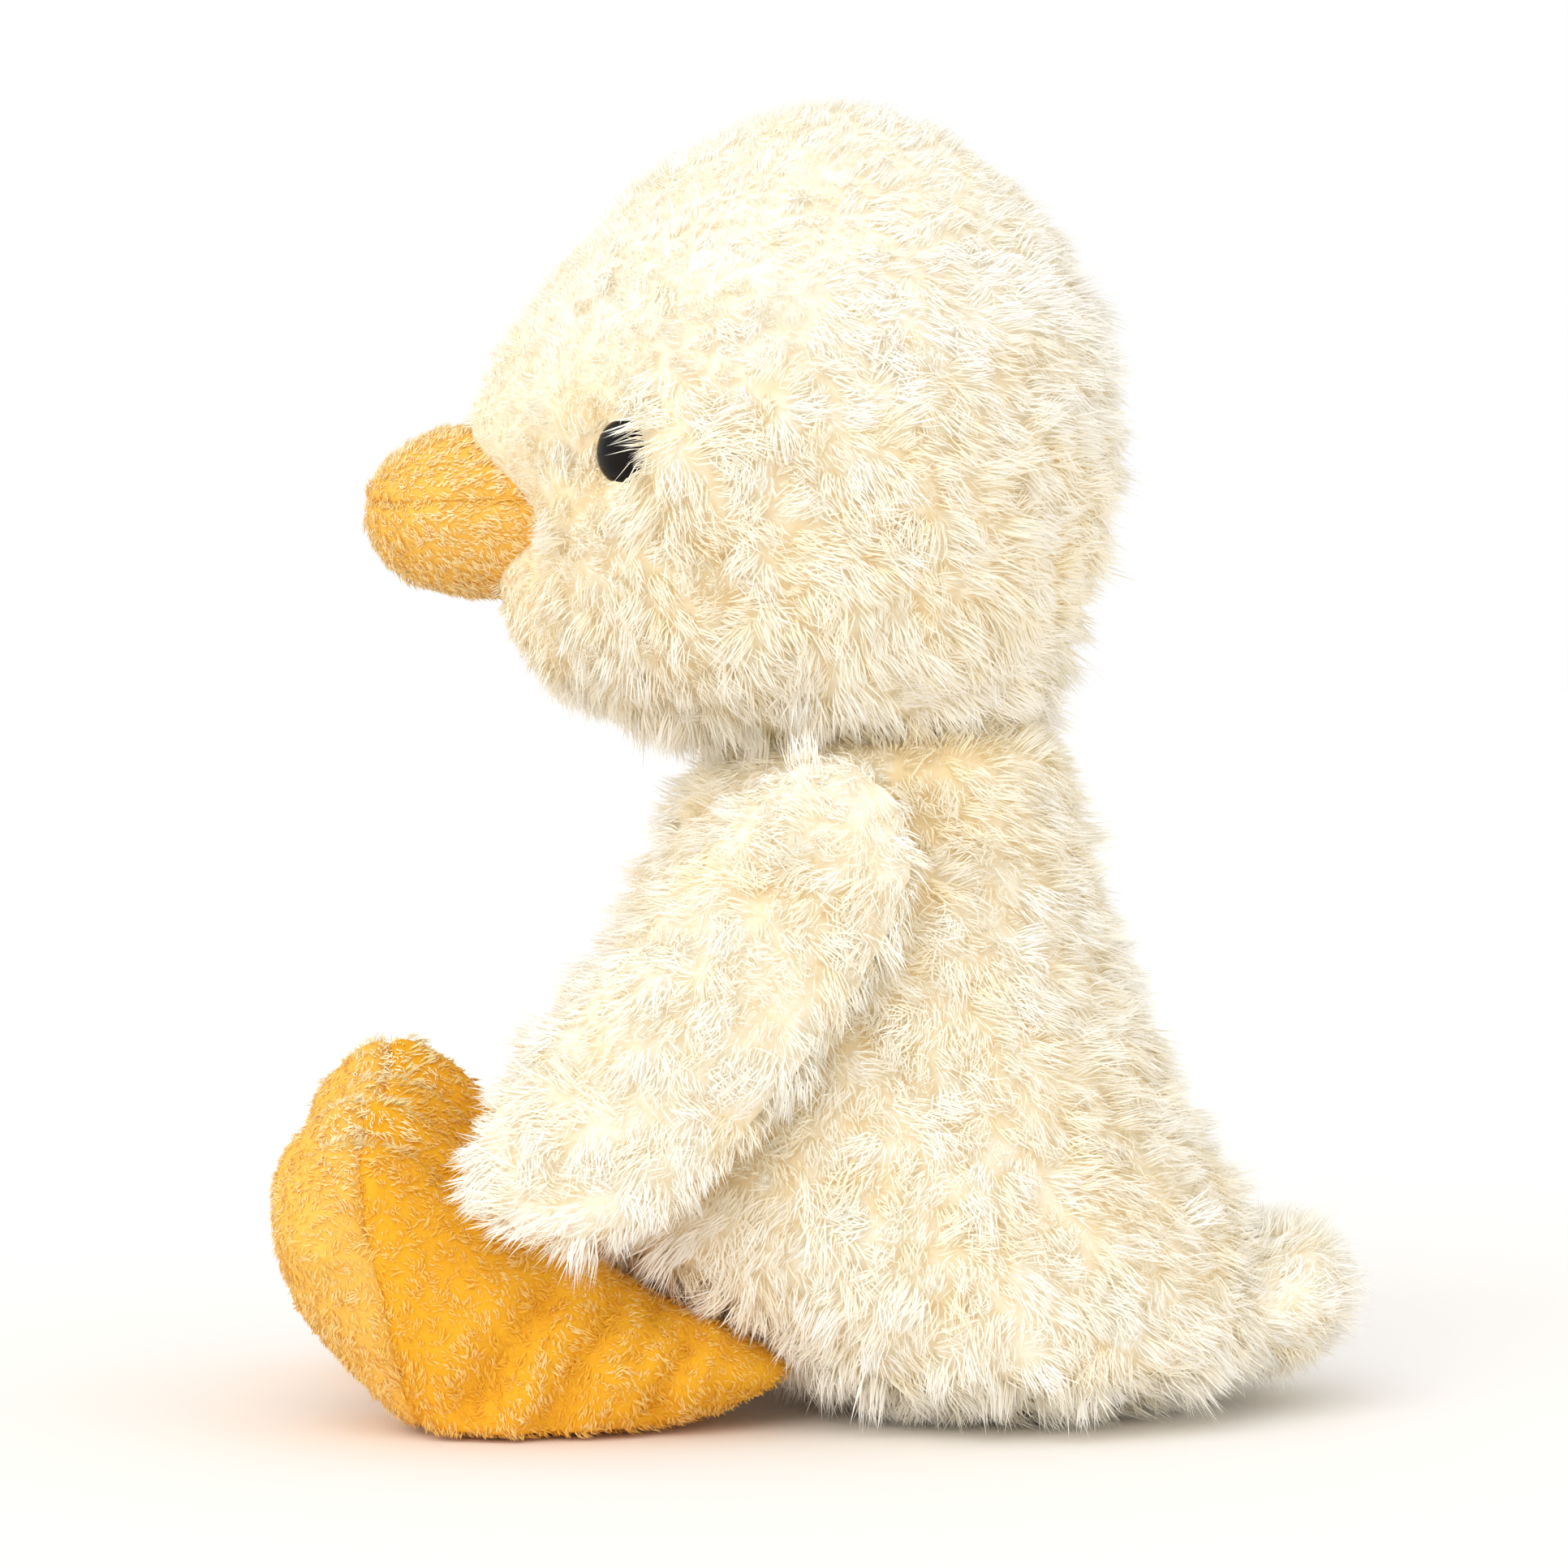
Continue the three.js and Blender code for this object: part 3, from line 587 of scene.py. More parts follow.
# Tufted fur on a base piece
def growFur(name, base, body, look, settings, comb, tintOf, lengthOf=evenly(1.0), keep=None):
    s = settings
    rng = np.random.default_rng(s["seed"])
    tufts = layTufts(base, s, comb, lengthOf, tintOf, rng)
    raiseMounds(base, tufts, s)
    roots, facing = scatter(base, s["perSquare"], rng)
    if keep:
        held = keep(roots)
        roots, facing = roots[held], facing[held]
    count = len(roots)
    own, rise, ahead, aside = tuftOf(roots, tufts, s)

    longer = s["length"] * mm * tufts["longer"]
    tuftPlace = tufts["place"] + tufts["facing"] * (s["mound"] * mm * tufts["longer"])[:, None]
    tuftTip, tuftMiddle = bent(tuftPlace, tufts["facing"], tufts["flow"], tufts["lean"], longer)
    along = turned(facing, tufts["flow"][own], rng.normal(0, s["strandTurn"], count))
    length = longer[own] * (1 + rng.normal(0, s["strandVaries"], count)).clip(*s["lengthLimits"])
    lean = (tufts["lean"][own] + rng.normal(0, s["strandLean"], count)).clip(*s["leanLimits"])
    tip, middle = bent(roots, facing, along, lean, length)

    pull = s["clump"] * (1 + rng.normal(0, s["clumpVaries"], count))
    pull = pull.clip(*s["clumpLimits"])[:, None]
    tip = tip * (1 - pull) + tuftTip[own] * pull
    middle = middle * (1 - s["middleClump"] * pull) + tuftMiddle[own] * s["middleClump"] * pull
    if s["wispShare"]:  # one strand in so many leads a wisp
        leaders = np.arange(0, count, s["wispShare"])
        leaderTree = treeOf(roots[leaders])
        leader = leaders[np.array([leaderTree.find(point)[1] for point in roots])]
        beside = roots - roots[leader]
        same = (own[leader] == own)[:, None] * s["wispPull"]
        drawn = same * (s["wispLeast"] + s["wispVaries"] * rng.random(count)[:, None])
        tip = tip * (1 - drawn) + (tip[leader] + s["tipSpread"] * beside) * drawn
        led = middle[leader] + s["middleSpread"] * beside
        middle = middle * (1 - s["middleWisp"] * drawn) + led * s["middleWisp"] * drawn
    for points in (middle, tip):
        points[:, 2] = np.maximum(points[:, 2], s["floorGap"] * mm)

    # Strands low on their tuft's mound are painted darker as painted shade between tufts, and high ones paler
    # as painted light
    tint = tufts["tint"][own] + s["riseTint"] * (rise - s["riseLevel"])
    tint = (tint + rng.normal(0, s["strandTint"], count)).clip(*s["tintLimits"])
    widthShare = (1 + rng.normal(0, s["widthVaries"], count)).clip(*s["widthLimits"])
    width = s["width"] * mm * widthShare
    # Light falls on a tuft as on one soft cone, so its strands share its roundness
    flow = tufts["flow"][own]
    aside = aside[:, None] * np.cross(facing, flow)
    soft = unit(facing + s["tuftRound"] * (aside + s["alongRound"] * ahead[:, None] * flow))
    strands = {"root": roots - facing * s["rootDepth"] * mm, "middle": middle, "tip": tip,
               "facing": facing, "width": width, "tint": tint, "soft": soft}
    stampStrands(name, body, look, s, rng, strands)


# The points of a spindle laid along each strand
def strandPoints(places, strands, settings, rng):
    root, middle, tip, facing = (strands[part] for part in ("root", "middle", "tip", "facing"))
    direction = unit(tip - root)
    across = unit(np.cross(direction, facing + 1e-4))  # a touch off, so an upright strand has a side too
    other = np.cross(direction, across)
    turn = rng.normal(0, settings["turnVaries"], len(root))
    a = across * np.cos(turn)[:, None] + other * np.sin(turn)[:, None]
    b = np.cross(direction, a) * settings["flat"]
    z = places[:, 2][None, :, None]
    centre = np.where(z <= 0.5, root[:, None] + (middle - root)[:, None] * z * 2,
                      middle[:, None] + (tip - middle)[:, None] * (z * 2 - 1))
    rounded = places[None, :, :1] * a[:, None] + places[None, :, 1:2] * b[:, None]
    return centre + (strands["width"] / 2)[:, None, None] * rounded


# Fur as meshes, each with normals of its own and a map for its colour
def stampStrands(name, body, look, settings, rng, strands):
    s = settings
    places, faces = spindle(s["widest"])
    count = len(places)
    roots = strands["root"]
    parts = math.ceil(len(roots) * len(faces) / s["mostTriangles"])
    order = np.argsort(np.arctan2(roots[:, 0], -roots[:, 1])) if parts > 1 else np.arange(len(roots))
    for part, chosen in enumerate(np.array_split(order, parts)):
        own = {kind: values[chosen] for kind, values in strands.items()}
        n = len(chosen)
        verts = strandPoints(places, own, s, rng)
        corners = (faces[None] + count * np.arange(n)[:, None, None]).reshape(-1)
        mesh = bpy.data.meshes.new(name)
        mesh.from_pydata(verts.reshape(-1, 3), [], corners.reshape(-1, 3), shade_flat=False)
        # The shared roundness is turned to the side that each face looks to
        flat = stackOf(mesh.polygons, "normal", 3).reshape(n, len(faces), 3)
        shared = np.broadcast_to(own["soft"][:, None], flat.shape)
        against = np.minimum((shared * flat).sum(2, keepdims=True), 0)
        shared = unit(shared - s["sideTurn"] * against * flat)
        shade = unit(s["softShade"] * shared + (1 - s["softShade"]) * flat)
        mesh.normals_split_custom_set(np.repeat(shade.reshape(-1, 3), 3, axis=0).astype(np.float32))
        layer = mesh.uv_layers.new(name=strandMap)
        edge = s["mapEdge"]
        u = np.broadcast_to(edge + (1 - 2 * edge) * places[None, :, 2], (n, count))
        v = own["tint"][:, None] + s["mapWidth"] * places[None, :, 0]
        uv = np.stack([u, v], 2).reshape(-1, 2)[corners]
        layer.uv.foreach_set("vector", uv.reshape(-1).astype(np.float32))
        placePiece(name if parts == 1 else f"{name}{part + 1}", mesh, body, look)
    print(name, "strands", len(roots), "triangles", len(roots) * len(faces))


# Fur, in mm and radians. A tuft's mound is in shares of the tuft spacing. A strand is drawn to
# its tuft's tip, and in a wisp to its leader's.
furSettings = {
    "seed": 1, "depth": 4.6, "mound": 0.65, "tuftSpacing": 2.8, "perSquare": 3.1,
    "length": 5.0, "lengthVaries": 0.22, "lean": 0.8, "leanVaries": 0.24, "strandLean": 0.26,
    "swirl": 1.5, "swirlSize": 9, "tuftTurn": 0.6, "strandTurn": 0.7, "strandVaries": 0.25,
    "clump": 0.36, "wispShare": 4, "wispPull": 0.4, "width": 0.3, "widest": 0.4, "flat": 0.25,
    "tintVaries": 0.07, "strandTint": 0.11, "patches": 0.4, "patchSize": 4.5, "tuftRound": 0.32,
    "softShade": 0.5, "sideTurn": 1.2,
    "candidates": 7, "near": 5, "peak": 0.35, "halfWidth": 0.62, "front": 0.45, "back": 1.05,
    "riseLimits": (0.3, 1.3), "tuftLeanLimits": (0.1, 1.45), "patchSeed": 40, "flatBelow": 3,
    # The ground tint paints shade low between mounds and light on their tops
    "groundTint": 0.5, "groundLevel": 0.6, "rootDepth": 0.3, "floorGap": 0.4,
    "lengthLimits": (0.5, 1.6), "leanLimits": (0.05, 1.45), "widthVaries": 0.15, "widthLimits": (0.5, 1.5),
    "clumpVaries": 0.25, "clumpLimits": (0, 0.95), "middleClump": 0.4, "wispLeast": 0.75,
    # The rise tint and level paint strands low on a mound darker as shade and high ones paler as light
    "wispVaries": 0.5, "middleWisp": 0.5, "tipSpread": 0.35, "middleSpread": 0.6, "riseTint": 0.28,
    "riseLevel": 0.55, "tintLimits": (0.03, 0.97), "alongRound": 0.6, "turnVaries": 0.35,
    "mostTriangles": 199000, "mapEdge": 0.01, "mapWidth": 0.0012,
}
# Base forms under the fur
baseSettings = {"tailInset": 1.2, "wingInset": 3.1, "fillingInset": 2.4, "reach": 4.2}
eyeSettings = {
    "place": (37.4, -31.2, 145), "facing": 44, "radius": 5, "dome": 2.9, "rim": 0.7, "sunk": 0.9,
    "base": 0.3, "bevel": 0.25, "lip": 0.12, "lipRise": 0.15, "shankRadius": 1.7, "shankLength": 5.3,
    "domeSteps": 14, "turns": 64,
}
# The head's fur loses length on the crown and the dart. At the beak's root and the eye it keeps
# the first of two shares, and the second comes back outward. Other pairs are where a change
# begins and ends.
headLengths = {
    "crownLoss": 0.5, "crown": (148, 188), "crownSlope": 0.35, "dartLoss": 0.2,
    "beakShares": (0.34, 0.66), "beak": (17, 33), "beakPlace": (0, -54, 137.3), "beakStretch": (1, 0.6, 1),
    "eyeShares": (0.45, 0.55), "eye": (4, 13), "behind": (-1, 3), "behindGain": 6,
    "cover": 0.3, "coverSize": 8,
}
dartSettings = {"top": (9.7, 178), "slope": 0.07, "width": 1.8, "begin": (112, 122), "end": (170, 182)}
# Forms of head and body. Round ones are place, size and depth, those of the face x and z only.
headHollows = {
    "eye": [((41.5, -23.5, 144.5), 5.5, 4.4), ((36.6, -33.6, 145), 7.5, -3.4), ((36, -39.5, 145), 6, -2.6)],
    "face": [((19, 133.5), (9, 13), 9), ((0, 121), (12, 7), 3.5)], "faceEnd": -20,
    "back": 10, "backReach": 30, "backDepth": 0.4, "nape": 121, "napeSize": 9, "napeDepth": 1.7,
}
bodyForms = {
    "chest": 88, "chestSize": 9, "chestDepth": 2.6, "chestBegin": 4, "chestReach": 18,
    "seat": 1.6, "seatBegin": 4.5, "seatEnd": 8,
}


def eyeDistance(points):
    mirrored = np.abs(points[:, :1])
    return distanceTo(np.concatenate([mirrored, points[:, 1:]], 1), eyeSettings["place"])


def behindEye(points, low, high):
    return smooth(points[:, 1] / mm - eyeSettings["place"][1], low, high)


def grown(share, least, more):
    return least + more * share


def dartLine(points):
    s = dartSettings
    _, y, z = points.T / mm
    away = y - s["top"][0] - (s["top"][1] - z) * s["slope"]
    return bells(away / s["width"]) * smooth(z, *s["begin"]) * (1 - smooth(z, *s["end"]))


def headLength(points):
    s = headLengths
    crown = smooth((points[:, 2] - s["crownSlope"] * points[:, 1]) / mm, *s["crown"])
    beak = smooth(distanceTo(points, s["beakPlace"], s["beakStretch"]), *s["beak"])
    behind = behindEye(points, *s["behind"])
    eye = smooth(eyeDistance(points) + s["behindGain"] * behind, *s["eye"])
    cover = s["cover"] * behind * bells(eyeDistance(points) / s["coverSize"])
    spots = grown(beak, *s["beakShares"]) * (grown(eye, *s["eyeShares"]) + cover)
    return (1 - s["crownLoss"] * crown) * spots * (1 - s["dartLoss"] * dartLine(points))


def flatUnder(point):
    s = bodyForms
    if point.z < s["seatEnd"]:
        slope = (s["seatEnd"] - s["seat"]) / (s["seatEnd"] - s["seatBegin"])
        point = Vector((point.x, point.y, s["seat"] + max(point.z - s["seatBegin"], 0) * slope))
    return point


def eyeHollow(place, normal):
    s = headHollows
    mirrored = Vector((abs(place.x), place.y, place.z))
    depth = sum(deep * bell((mirrored - Vector(spot)).length / size) for spot, size, deep in s["eye"])
    if place.y < s["faceEnd"]:
        for (x, z), (wide, high), deep in s["face"]:
            depth -= deep * bell((mirrored.x - x) / wide, (place.z - z) / high)
    else:
        nape = s["napeDepth"] * bell((place.z - s["nape"]) / s["napeSize"])
        depth -= within((place.y - s["back"]) / s["backReach"]) * (s["backDepth"] + nape)
    return depth


def chestSwell(place, normal):
    s = bodyForms
    forward = within((-place.y - s["chestBegin"]) / s["chestReach"])
    return s["chestDepth"] * bell((place.z - s["chest"]) / s["chestSize"]) * forward


def shapeHead(inset, around, rings):
    bm = loft(headForm, inset, around, rings)
    raiseGround(bm, headLength, baseSettings["reach"])
    carve(bm, eyeHollow)
    return bm


furDepth = furSettings["depth"]
fillingDepth = furDepth + baseSettings["fillingInset"]
bodyShape = loft(bodyForm, furDepth, around=170, rings=80, shapeOf=flatUnder)
carve(bodyShape, chestSwell)
bodyBase = makePiece("bodyBacking", bodyShape, "body", backingLook)
tailShape = loft(tailForm, furDepth + baseSettings["tailInset"], around=90, rings=36)
tailBase = makePiece("tailBacking", tailShape, "body", backingLook)
headShape = shapeHead(furDepth, around=170, rings=90)
headBase = makePiece("headBacking", headShape, "head", backingLook)
bodyFilling = loft(bodyForm, fillingDepth, around=70, rings=40, shapeOf=flatUnder)
bodyFilling = makePiece("bodyStuffing", bodyFilling, "body", fibreLook)
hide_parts("body_stuffing")
headFilling = shapeHead(fillingDepth, around=70, rings=44)
headFilling = makePiece("headStuffing", headFilling, "head", fibreLook)
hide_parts("head_stuffing")
wingBases = {}
for side in sides:
    wingShape = loft(wingForm, baseSettings["wingInset"], around=70, rings=64)
    wingBases[side] = makePiece(f"wingBacking_{side}", wingShape, f"wing_{side}", backingLook,
                                mirrored=side == "right")
    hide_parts(f"wing_outer_{side}", f"wing_inner_{side}")
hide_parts("body_side_left", "body_side_right", "base_panel")
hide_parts("head_side_left", "head_side_right")
print("backings made")


# A form parted along its seam into two panels with a wall. seamAt gives how far a point is
# past the seam; cuts are planes that follow it, each between two levels.
def panelsOf(bm, cuts, seamAt, wall):
    for low, high, place, normal in cuts:
        band = [f for f in bm.faces if low <= f.calc_center_median().z < high]
        held = {part for f in band for part in (*f.verts, *f.edges)}
        geom = [part for part in (*bm.verts, *bm.edges) if part in held] + band
        bmesh.ops.bisect_plane(bm, geom=geom, dist=1e-5, plane_co=place, plane_no=normal)
    bmesh.ops.remove_doubles(bm, verts=bm.verts, dist=0.08)
    bmesh.ops.dissolve_degenerate(bm, edges=bm.edges, dist=0.04)
    settleByPlace(bm)
    other = bm.copy()
    for part, keepsFront in ((bm, True), (other, False)):
        gone = [f for f in part.faces if (seamAt(f.calc_center_median()) < 0) != keepsFront]
        bmesh.ops.delete(part, geom=gone, context="FACES")
        bmesh.ops.solidify(part, geom=part.faces[:], thickness=wall)
        settleByPlace(part)
        bmesh.ops.recalc_face_normals(part, faces=part.faces)
    return bm, other


# How far a point is from a line with two ends
def lineDistance(y, z, ends):
    (y0, z0), (y1, z1) = ends
    t = within(((y - y0) * (y1 - y0) + (z - z0) * (z1 - z0)) / ((y1 - y0) ** 2 + (z1 - z0) ** 2))
    return math.hypot(y - y0 - t * (y1 - y0), z - z0 - t * (z1 - z0))


# A whole form that isn't shown, for nap to stand on before it is parted
def napGround(bm, mirrored=False):
    return bpy.data.objects.new("napGround", meshOf("napGround", bm.copy(), mirrored))


# Feet: a boot-shaped form, toe lobes on its top, folds at the ankle, a seam round the sole
footSettings = {
    "inset": 1.0, "fillingInset": 4.2, "wall": 0.9,
    "centre": 28, "height": 51, "toeSpacing": 14.6, "toeGroove": 6, "outerDrop": 4.6, "toeRoot": 0.45,
    "lift": {"left": -1.2, "right": 3.4}, "rest": 0.7, "restHeight": 6,
    "webDepth": 2.6, "webWidth": 2.4, "webBegin": 18, "webReach": 26,
    "seam": [(-1, -60), (6, -63.2), (20, -65.6), (35, -69.2), (52, -70.6)],
    "seamDepth": 0.8, "seamWidth": 1.0,
    # each fold: its two ends as y and z, its half width and its depth
    "folds": [
        (((-42.5, 21), (-53, 6)), 3.0, 1.6), (((-34, 18), (-42, 3)), 2.6, 1.7),
        (((-22, 14), (-27, 4)), 1.8, 1.5), (((-27, 18.5), (-30, 12)), 1.5, 1.0),
    ],
    "foldAside": 1.6, "foldAbove": 0.3, "foldSwell": 0.55, "swellAway": 1.9,
    "bumps": [(13, 0.7), (5, 0.25)], "underFade": 3, "underShare": 0.15,
}


def shapeToes(point, lift):
    s = footSettings
    toes = (point.x - s["centre"]) / s["toeSpacing"]
    drop = s["toeGroove"] * (1 - abs(math.cos(math.pi * toes))) + s["outerDrop"] * toes * toes
    t = within((point.z / s["height"] - s["toeRoot"]) / (1 - s["toeRoot"]))
    under = s["rest"] * max(1 - point.z / s["restHeight"], 0)
    return Vector((point.x, point.y, point.z - under + (lift - drop) * eased(t)))


# Where the foot's seam stands in y, for a level or many
def seamLine(z):
    return np.interp(z, *zip(*footSettings["seam"]))


def carveFoot(place, normal):
    s = footSettings
    toes = (place.x - s["centre"]) / s["toeSpacing"]
    web = bell((abs(toes) - 0.5) * s["toeSpacing"] / s["webWidth"])
    depth = -s["webDepth"] * web * within((place.z - s["webBegin"]) / s["webReach"]) * max(-normal.y, 0)
    depth -= s["seamDepth"] * bell((place.y - seamLine(place.z)) / s["seamWidth"])
    sideways = within(abs(normal.x) * s["foldAside"] + s["foldAbove"] * max(normal.z, 0))
    for ends, width, deep in s["folds"]:
        away = lineDistance(place.y, place.z, ends)
        swell = s["foldSwell"] * bell((away - s["swellAway"] * width) / width)
        depth -= deep * sideways * (bell(away / width) - swell)
    depth += sum(high * noise.noise(place / size) for size, high in s["bumps"])
    return depth * min(max(place.z / s["underFade"], s["underShare"]), 1)


def shapeFoot(side, inset, around, rings):
    bm = loft(footForm, inset, around, rings, lambda point: shapeToes(point, footSettings["lift"][side]))
    carve(bm, carveFoot)
    return bm


seamRows = footSettings["seam"]
footCuts = [(low, high, Vector((0, lowY, low)), Vector((0, high - low, lowY - highY)).normalized())
            for (low, lowY), (high, highY) in zip(seamRows, seamRows[1:])]
footGrounds = {}
for side in sides:
    mirrored = side == "right"
    footShape = shapeFoot(side, footSettings["inset"], around=110, rings=68)
    filling = shapeFoot(side, footSettings["fillingInset"], around=60, rings=40)
    filling = makePiece(f"footStuffing_{side}", filling, f"leg_{side}", fibreLook, mirrored)
    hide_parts(f"foot_stuffing_{side}")
    footGrounds[side] = napGround(footShape, mirrored)
    sole, upper = panelsOf(footShape, footCuts, lambda p: p.y - seamLine(p.z), footSettings["wall"])
    for kind, slotName, shape, look in (("sole", "sole_nap", sole, goldenBackingLook),
                                        ("upper", "foot_nap", upper, orangeBackingLook)):
        panel = makePiece(f"foot{kind.title()}_{side}", shape, f"leg_{side}", look, mirrored)
        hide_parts(f"foot_{kind}_{side}")
print("feet made")

# Beak: an upper and a lower panel, with the seam along its side
beakSettings = {"inset": 1.0, "wall": 0.9, "seamLevel": 138.1, "seamDepth": 0.7, "seamWidth": 0.9,
                "bumpSize": 7, "bumpHeight": 0.35}


def carveBeak(place, normal):
    s = beakSettings
    groove = s["seamDepth"] * bell((place.z - s["seamLevel"]) / s["seamWidth"])
    return s["bumpHeight"] * noise.noise(place / s["bumpSize"]) - groove


beakShape = loft(beakForm, beakSettings["inset"], around=80, rings=44)
carve(beakShape, carveBeak)
beakGround = napGround(beakShape)
seamLevel = beakSettings["seamLevel"]
beakCuts = [(0, 300, Vector((0, 0, seamLevel)), Vector((0, 0, 1)))]
lower, upper = panelsOf(beakShape, beakCuts, lambda p: p.z - seamLevel, beakSettings["wall"])
for kind, shape in (("upper", upper), ("lower", lower)):
    panel = makePiece(f"beak{kind.title()}", shape, "head", goldenBackingLook)
    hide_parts(f"beak_{kind}")
print("beak made")


# Eyes: a domed button with a thin rim on its shank
def makeEye(side):
    s = eyeSettings
    edge = s["radius"] - s["lip"]
    level = s["base"] + s["rim"]
    height = s["dome"] - s["lipRise"]
    profile = [
        (0, -s["shankLength"]), (s["shankRadius"], -s["shankLength"]), (s["shankRadius"], s["base"]),
        (s["radius"] - s["bevel"], s["base"]), (s["radius"], s["base"] + s["bevel"]),
        (s["radius"], s["rim"]), (edge, s["rim"] + s["lipRise"]),
    ]
    for step in range(1, s["domeSteps"]):
        rise = 0.5 * math.pi * step / s["domeSteps"]
        profile.append((edge * math.cos(rise), level + height * math.sin(rise)))
    profile.append((0, level + height))
    bm = bmesh.new()
    verts = [bm.verts.new((radius, 0, height)) for radius, height in profile]
    edges = [bm.edges.new(pair) for pair in zip(verts, verts[1:])]
    bmesh.ops.spin(bm, geom=verts + edges, cent=(0, 0, 0), axis=(0, 0, 1), angle=2 * math.pi,
                   steps=s["turns"], use_merge=True)
    bmesh.ops.remove_doubles(bm, verts=bm.verts, dist=1e-4)
    settleByPlace(bm)
    bmesh.ops.recalc_face_normals(bm, faces=bm.faces)
    turn = math.radians(s["facing"])
    facing = Vector((math.cos(turn), -math.sin(turn), 0))
    bmesh.ops.transform(bm, matrix=facing.to_track_quat("Z", "Y").to_matrix().to_4x4(), verts=bm.verts)
    bmesh.ops.translate(bm, vec=Vector(s["place"]) - s["sunk"] * facing, verts=bm.verts)
    eye = makePiece(f"eyeButton_{side}", bm, "head", eyeLook, mirrored=side == "right")
    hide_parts(f"eye_{side}")


for side in sides:
    makeEye(side)
# Looks of the CAD's own solids, of which the hidden ones stay
hiddenLooks = {"eye_washer_left": washerLook, "eye_washer_right": washerLook, "bean_bag": bagLook}
for name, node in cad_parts.items():
    node.data.materials.clear()
    node.data.materials.append(hiddenLooks.get(name, fibreLook))
print("eyes made")


# Which points lie inside a form drawn in by inset, or inside its mirror image
def insideForm(form, points, inset):
    middle = form.get("origin", (0, 0, 0))[0]

    def holds(x, y, z):
        if not form["start"] < z < form["end"]:
            return False
        _, centre, halfAcross, halfUpward = measuresAt(form, z)
        a, b = (half * openedAt(form, z) - inset for half in (halfAcross, halfUpward))
        return a > 0 and b > 0 and ((abs(x) - middle) / a) ** 2 + ((y - centre) / b) ** 2 < 1

    return np.array([holds(*point) for point in points / mm])


# Combs: fur leaves the beak's root all round, hangs down the head and lies over the eye from behind
headCombs = {
    "root": (0, -54, 137), "rootSize": 42, "away": 0.45, "down": (0, 0.45, -0.75), "downLoss": 0.8,
    "back": (0, 40), "backTurn": (0, 0.3, 0.3),
    "over": (0.0, -1.0, -0.2), "overShare": 8, "overSize": 8, "overBegin": (0.5, 3),
}
bodyCombs = {"down": (0, 0.1, -1), "back": 45, "backTurn": (0, 0.5, 0), "mostForward": -0.5}


def headComb(points):
    s = headCombs
    away = unit(points - np.array(s["root"]) * mm)
    near = bells(distanceTo(points, s["root"]) / s["rootSize"])[:, None]
    down = np.array(s["down"]) + np.array(s["backTurn"]) * smooth(points[:, 1:2] / mm, *s["back"])
    behind = bells(eyeDistance(points) / s["overSize"]) * behindEye(points, *s["overBegin"])
    over = np.array(s["over"]) * (s["overShare"] * behind)[:, None]
    return away * (s["away"] + near) + down * (1 - s["downLoss"] * near) + over


def bodyComb(points):
    s = bodyCombs
    back = (points[:, 1:2] / (s["back"] * mm)).clip(s["mostForward"], 1)
    return np.array(s["down"]) + np.array(s["backTurn"]) * back


# A comb that lays all fur one way
def combed(*direction):
    return lambda points: np.tile(np.array(direction), (len(points), 1))


# Tints go from warm at 0 to pale at 1. Pairs are where a change begins and ends.
# Head: painted light makes the crown paler, as lit from above, and the underside paler, lifting its shade;
# painted shade darkens the hollow before the eye; the dart line is darker
headTints = {"plain": 0.5, "crown": 0.4, "crownLevels": (135, 170), "low": 0.3, "lowLevels": (102, 120),
             "hollow": 0.6, "hollowPlace": (37, -39, 146), "hollowSize": 6, "dart": 0.15}
# Body: painted shade darkens the neck under the head and the crease behind the wing; painted light makes its
# lowest part paler
bodyTints = {"plain": 0.62, "neck": 0.5, "neckLevels": (97, 106), "napeLoss": 0.8, "nape": (5, 25),
             "crease": 0.45, "creasePlace": (-4, 60), "creaseSlope": 0.55, "creaseSize": 9,
             "creaseLevels": (30, 50), "low": 0.1, "lowLevels": (8, 30)}
bodyLengths = {"neckLoss": 0.25, "neck": (90, 104), "seatGain": 0.4, "seat": (4, 16)}
# Wing: the fur is painted darker along its fold, as painted shade
wingTints = {"plain": 0.72, "fold": 0.25, "foldLevel": 79, "foldSlope": 0.25, "foldSize": 4}


def headTint(points):
    s = headTints
    z = points[:, 2] / mm
    # Painted light: paler on the crown and on the underside
    crown, low = smooth(z, *s["crownLevels"]), 1 - smooth(z, *s["lowLevels"])
    mirrored = np.abs(points) * np.array([1, -1, 1])
    # Painted shade: darker in the hollow before the eye
    hollow = bells(distanceTo(mirrored, s["hollowPlace"]) / s["hollowSize"])
    dark = s["hollow"] * hollow + s["dart"] * dartLine(points)
    return s["plain"] + s["crown"] * crown + s["low"] * low - dark


def bodyTint(points):
    s = bodyTints
    _, y, z = points.T / mm
    # Painted shade at the neck under the head, less at the nape
    neck = smooth(z, *s["neckLevels"]) * (1 - s["napeLoss"] * smooth(y, *s["nape"]))
    # Painted shade along the crease behind the wing
    away = y - s["creasePlace"][0] - (z - s["creasePlace"][1]) * s["creaseSlope"]
    crease = bells(away / s["creaseSize"]) * smooth(z, *s["creaseLevels"])
    # Painted light: paler low down, lifting the shade near the floor
    low = 1 - smooth(z, *s["lowLevels"])
    return s["plain"] - s["neck"] * neck - s["crease"] * crease + s["low"] * low


def bodyLength(points):
    s = bodyLengths
    z = points[:, 2] / mm
    return 1 - s["neckLoss"] * smooth(z, *s["neck"]) + s["seatGain"] * (1 - smooth(z, *s["seat"]))


def wingTint(points):
    s = wingTints
    # Painted shade along the wing's fold
    away = points[:, 2] / mm - s["foldLevel"] + s["foldSlope"] * points[:, 1] / mm
    return s["plain"] - s["fold"] * bells(away / s["foldSize"])


